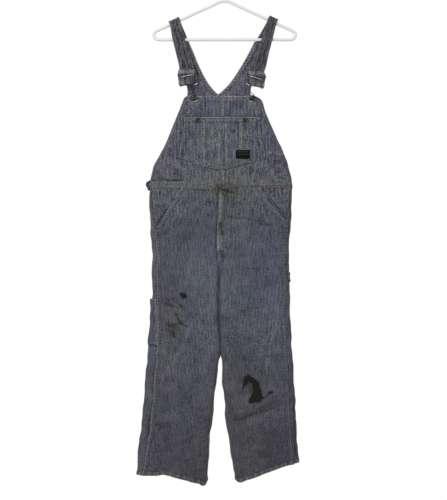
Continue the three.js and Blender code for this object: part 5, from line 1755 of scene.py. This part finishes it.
# Stitching, laid on the finished cloth


def stitch_row(bm, face, points, pitch=3.3, size=(1.15, 0.42), gap=0.34, worn=-0.45):
    """One row of stitches along a line of x, z points, each laid on the cloth below it."""
    line = np.array(points, float)
    steps = np.r_[0, np.cumsum(np.linalg.norm(np.diff(line, axis=0), axis=1))]
    count = max(1, int(steps[-1] / pitch))
    ahead = Vector((0, -1, 0)) if face == "back" else Vector((0, 1, 0))
    for k in range(count):
        s = (k + 0.5) * steps[-1] / count
        middle = np.interp(s, steps, line[:, 0]) / 13, 2.7, np.interp(s, steps, line[:, 1]) / 13
        if noise.noise(Vector(middle)) < worn:
            continue
        ends = []
        for t in (s - pitch * gap, s + pitch * gap):
            x, z = np.interp(t, steps, line[:, 0]), np.interp(t, steps, line[:, 1])
            start = Vector((x * MM, 0.12 if face == "back" else -0.12, z * MM))
            hits = [tree.ray_cast(start, ahead) for tree in SURFACES[face]]
            hits = [hit for hit in hits if hit[0] is not None]
            if hits:
                ends.append(min(hits, key=lambda hit: hit[3]))
        if len(ends) < 2 or abs(ends[0][3] - ends[1][3]) > 0.004:
            continue
        (a, na, *_), (b, nb, *_) = ends
        up = (na + nb).normalized()
        if up.dot(ahead) > 0:
            up = -up
        sunk = up * 1.5 * MM if face == "inside" else Vector((0, 0, 0))
        place_stitch(bm, a + sunk, b + sunk, up, size)


def place_stitch(bm, a, b, normal, size):
    along = (b - a).normalized()
    up = (normal - along * normal.dot(along)).normalized()
    across = up.cross(along)
    turn = Matrix((along * ((b - a).length / 2 + 0.0002), across * size[1] * MM * 1.25, up * size[1] * MM))
    turn = turn.transposed().to_4x4()
    turn.translation = (a + b) / 2 + up * 0.00012
    bmesh.ops.create_icosphere(bm, subdivisions=1, radius=1, matrix=turn)


def stitching(name, face, rows, holder, **options):
    """A piece made of several rows of stitches that follow the cloth."""
    bm = bmesh.new()
    for points in rows:
        stitch_row(bm, face, points, **options)
    piece = made(f"stitches_{name}", bm, [THREAD], "denim")
    STITCHED.append(piece)
    return piece


def beside(points, away):
    """A line moved sideways by a distance in mm."""
    line = np.array(points, float)
    ahead = np.gradient(line, axis=0)
    ahead /= np.linalg.norm(ahead, axis=1)[:, None]
    return line + away * np.stack([-ahead[:, 1], ahead[:, 0]], axis=1)


def outline_row(hand, inset, top, foot, table=None, step=6):
    """A line at a distance along the cloth from the garment's side, or from a table's line."""
    rows = []
    for z in np.arange(top, foot, -step):
        start = 0 if table is None else seam_start(z, hand)
        inner = CENTRE_BIB if z > WAIST else -15
        points = section(z, hand, -1, inner, 0, 4, start) if z > -860 else leg_section(z, hand, -1, start)
        lengths = np.r_[0, np.cumsum(np.linalg.norm(np.diff(points[:, :2], axis=0), axis=1))]
        rows.append((np.interp(inset, lengths, points[:, 0]), z + hem_drop(-1, points[5, 0], z)))
    return rows


def inner_row(hand, inset, top, foot, step=6):
    rows = []
    for z in np.arange(top, foot, -step):
        points = leg_section(z, hand, -1)[::-1]
        lengths = np.r_[0, np.cumsum(np.linalg.norm(np.diff(points[:, :2], axis=0), axis=1))]
        x = np.interp(inset, lengths, points[:, 0])
        rows.append((x, z + hem_drop(-1, x, z)))
    return rows


def table_row(table, column, shift, top, foot, step=5):
    return [(lookup(table, column, z) + shift, z) for z in np.arange(top, foot, -step)]


def hem_row(face, hand, rise):
    row, s, left = spaced(leg_section(HEM + rise, hand, face), 60)
    side = -1 if face < 0 else 1
    return [(x, HEM + rise + hem_drop(side, x, HEM + rise)) for x in row[2:-2, 0]]


ROWS = []
for HAND in (-1, 1):
    for INSET in (2.0, 7.8):
        ROWS.append(outline_row(HAND, INSET, -390, -644))
    ROWS.append(outline_row(HAND, 2.0, -790, HEM + 4, table="seam"))
stitching("sides", "front", ROWS, "front_left")
ROWS = []
for HAND in (-1, 1):
    for INSET in (2.4, 8.0):
        ROWS.append(inner_row(HAND, INSET, -900, HEM + 4))
stitching("inseams", "front", ROWS, "front_left")
ROWS = []
for HAND, INNER in ((-1, -8), (1, -4)):
    for DROP in (2.2, 12.5):
        LEFT = -127 if HAND < 0 else INNER
        RIGHT = INNER if HAND < 0 else 108
        ROWS.append([(x, BIB_TOP - DROP) for x in np.linspace(LEFT, RIGHT, 30)])
ROWS.append([(-83, -384), (-137, -424)])
ROWS.append([(-80, -387), (-134, -427)])
ROWS.append([(79.5, -392), (107.7, -412)])
ROWS.append([(77, -395), (105, -415)])
for X in (-9.2, -2.8):
    ROWS.append([(X, -386), (X, -433)])
    ROWS.append([(X, -597), (X, -626)])
ROWS.append([(-45, -402), (-24, -400), (-8.7, -404)])
stitching("bib", "front", ROWS, "bib_left", worn=-0.12)
ROWS = []
for DROP in (2.2, 12.0):
    ROWS.append([(x, POCKET[0][0] - DROP) for x in np.linspace(-119, 105.5, 40)])
for COLUMN, SHIFT in ((1, 2.2), (1, 8.4), (2, -2.2), (2, -8.4)):
    ROWS.append(table_row(POCKET, COLUMN, SHIFT, -437, -556))
for RISE in (2.2, 8.4):
    ROWS.append([(x, lookup(POCKET_FOOT, 1, x) + RISE) for x in np.linspace(-138, 121, 60)])
for X0, X1, Z0, Z1 in POCKET_LINES:
    ROWS.append([(X0, Z0), (X1, Z1)])
ROWS.append([(POCKET_LINES[0][0] + 3.4, -440), (POCKET_LINES[0][1] + 3.4, -564)])
stitching("pocket", "front", ROWS, "bib_pocket", worn=0.0)
ROWS = []
ROWS.append([(x, -642.2) for x in np.linspace(-214, -21, 60)])
ROWS.append([(x, -637.4) for x in np.linspace(50, 193, 60)])
stitching("waist", "front", ROWS, "waist_seam_left", worn=-0.1)
ROWS = [table_row(FLY, 2, -2.0, -652, -868), table_row(FLY, 2, -8.0, -652, -848)]
ROWS.append(table_row(FLY, 1, 2.2, -652, -868))
for COLUMN, HAND in ((1, -1), (2, 1)):
    for SHIFT in (2.4, 10.6):
        ROWS.append(table_row(SLASH, COLUMN, -HAND * SHIFT, -650, -766))
stitching("front", "front", ROWS, "fly", worn=-0.05)
ROWS = []
for HAND in (-1, 1):
    ROWS.append(hem_row(-1, HAND, 2.2))
    ROWS.append(hem_row(-1, HAND, 9.6))
stitching("hems", "front", ROWS, "front_left", worn=-0.1)
ROWS = []
for HAND in (-1, 1):
    ROWS.append(hem_row(1, HAND, 2.2))
    ROWS.append(hem_row(1, HAND, 9.6))
for COLUMN, SIGN in ((1, 1), (2, -1), (3, 1), (4, -1)):
    for SHIFT in (2.2, 8.6):
        ROWS.append(table_row(BACK_EDGE, COLUMN, SIGN * SHIFT, -212, -356))
for DROP in (640, 634):
    ROWS.append([(x, -DROP) for x in np.linspace(-205, 185, 100)])
INSIDE = []
for COLUMN, SIGN in ((1, 1), (2, -1), (3, 1), (4, -1)):
    for SHIFT in (2.4, 9.0):
        FOOT = -362 if COLUMN in (2, 3) else -356
        INSIDE.append(table_row(BACK_EDGE, COLUMN, SIGN * SHIFT, -208, FOOT))
stitching("neck", "inside", INSIDE, "back_bib_left")
for X in (-22, -16):
    ROWS.append([(X, -385), (X, -628)])
    ROWS.append([(X + 4, -655), (X + 4, -860)])
stitching("back", "back", ROWS, "back_left")


def edge_stitches(name):
    """Stitches along both edges of a strap."""
    places, normals, even = STRAP_LINES[name]
    bm = bmesh.new()
    columns = places.shape[1]
    for c in (1, 3, columns - 4, columns - 2):
        line = places[:, c]
        steps = np.r_[0, np.cumsum(np.linalg.norm(np.diff(line, axis=0), axis=1))]
        for s in np.arange(6, steps[-1] - 40, 3.3):
            pair = []
            for t in (s - 1.1, s + 1.1):
                pair.append(Vector([np.interp(t, steps, line[:, k]) for k in range(3)]) * MM)
            k = int(np.searchsorted(steps, s))
            up = Vector(normals[min(k, len(normals) - 1), c])
            place_stitch(bm, pair[0], pair[1], up, (1.15, 0.42))
    made(f"stitches_strap_{name}", bm, [THREAD], "denim")


edge_stitches("left")
edge_stitches("right")

# Floor, lights and camera


def floor():
    bm = bmesh.new()
    bmesh.ops.create_grid(bm, x_segments=1, y_segments=1, size=4)
    mesh = bpy.data.meshes.new("floor")
    bm.to_mesh(mesh)
    bm.free()
    g = Graph("floor")
    g.set(Base_Color=(0.86, 0.86, 0.85, 1), Roughness=0.9)
    mesh.materials.append(g.material)
    ground = bpy.data.objects.new("floor", mesh)
    ground.location = (0, 0, -2.62)
    bpy.context.scene.collection.objects.link(ground)
    ground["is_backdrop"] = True


def area_light(name, place, towards, size, power):
    lamp = bpy.data.lights.new(name, "AREA")
    lamp.size = size
    lamp.energy = power
    lit = bpy.data.objects.new(name, lamp)
    lit.location = place
    lit.rotation_euler = (Vector(towards) - Vector(place)).to_track_quat("-Z", "Y").to_euler()
    bpy.context.scene.collection.objects.link(lit)


floor()
bpy.context.scene.view_settings.view_transform = "Standard"
WORLD = bpy.data.worlds.new("studio")
WORLD.use_nodes = True
SKY = WORLD.node_tree.nodes["Background"]
SKY.inputs[0].default_value = (1, 1, 1, 1)
SEEN = WORLD.node_tree.nodes.new("ShaderNodeLightPath").outputs["Is Camera Ray"]
LEVEL = WORLD.node_tree.nodes.new("ShaderNodeMapRange")
LEVEL.inputs["To Min"].default_value = 0.45
LEVEL.inputs["To Max"].default_value = 1.0
WORLD.node_tree.links.new(SEEN, LEVEL.inputs["Value"])
WORLD.node_tree.links.new(LEVEL.outputs[0], SKY.inputs[1])
bpy.context.scene.world = WORLD
area_light("key", (-1.5, -2.4, 0.9), (0, 0, -0.8), 1.3, 56)
area_light("fill", (1.9, -2.6, -0.4), (0, 0, -0.8), 2.2, 14)

CAMERA = bpy.data.cameras.new("camera")
CAMERA.lens = 36 * 3.18 / 1.5
CAMERA.sensor_width = 36
VIEWER = bpy.data.objects.new("camera", CAMERA)
VIEWER.location = (-0.003, -3.2, -0.834)
VIEWER.rotation_euler = (math.pi / 2, 0, 0)
bpy.context.scene.collection.objects.link(VIEWER)
bpy.context.scene.camera = VIEWER

for title, box in (("cad", CAD_BOX), ("dressed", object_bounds())):
    title + " " + " ".join(f"{value:.4f}" for corner in box for value in corner) + "\n"
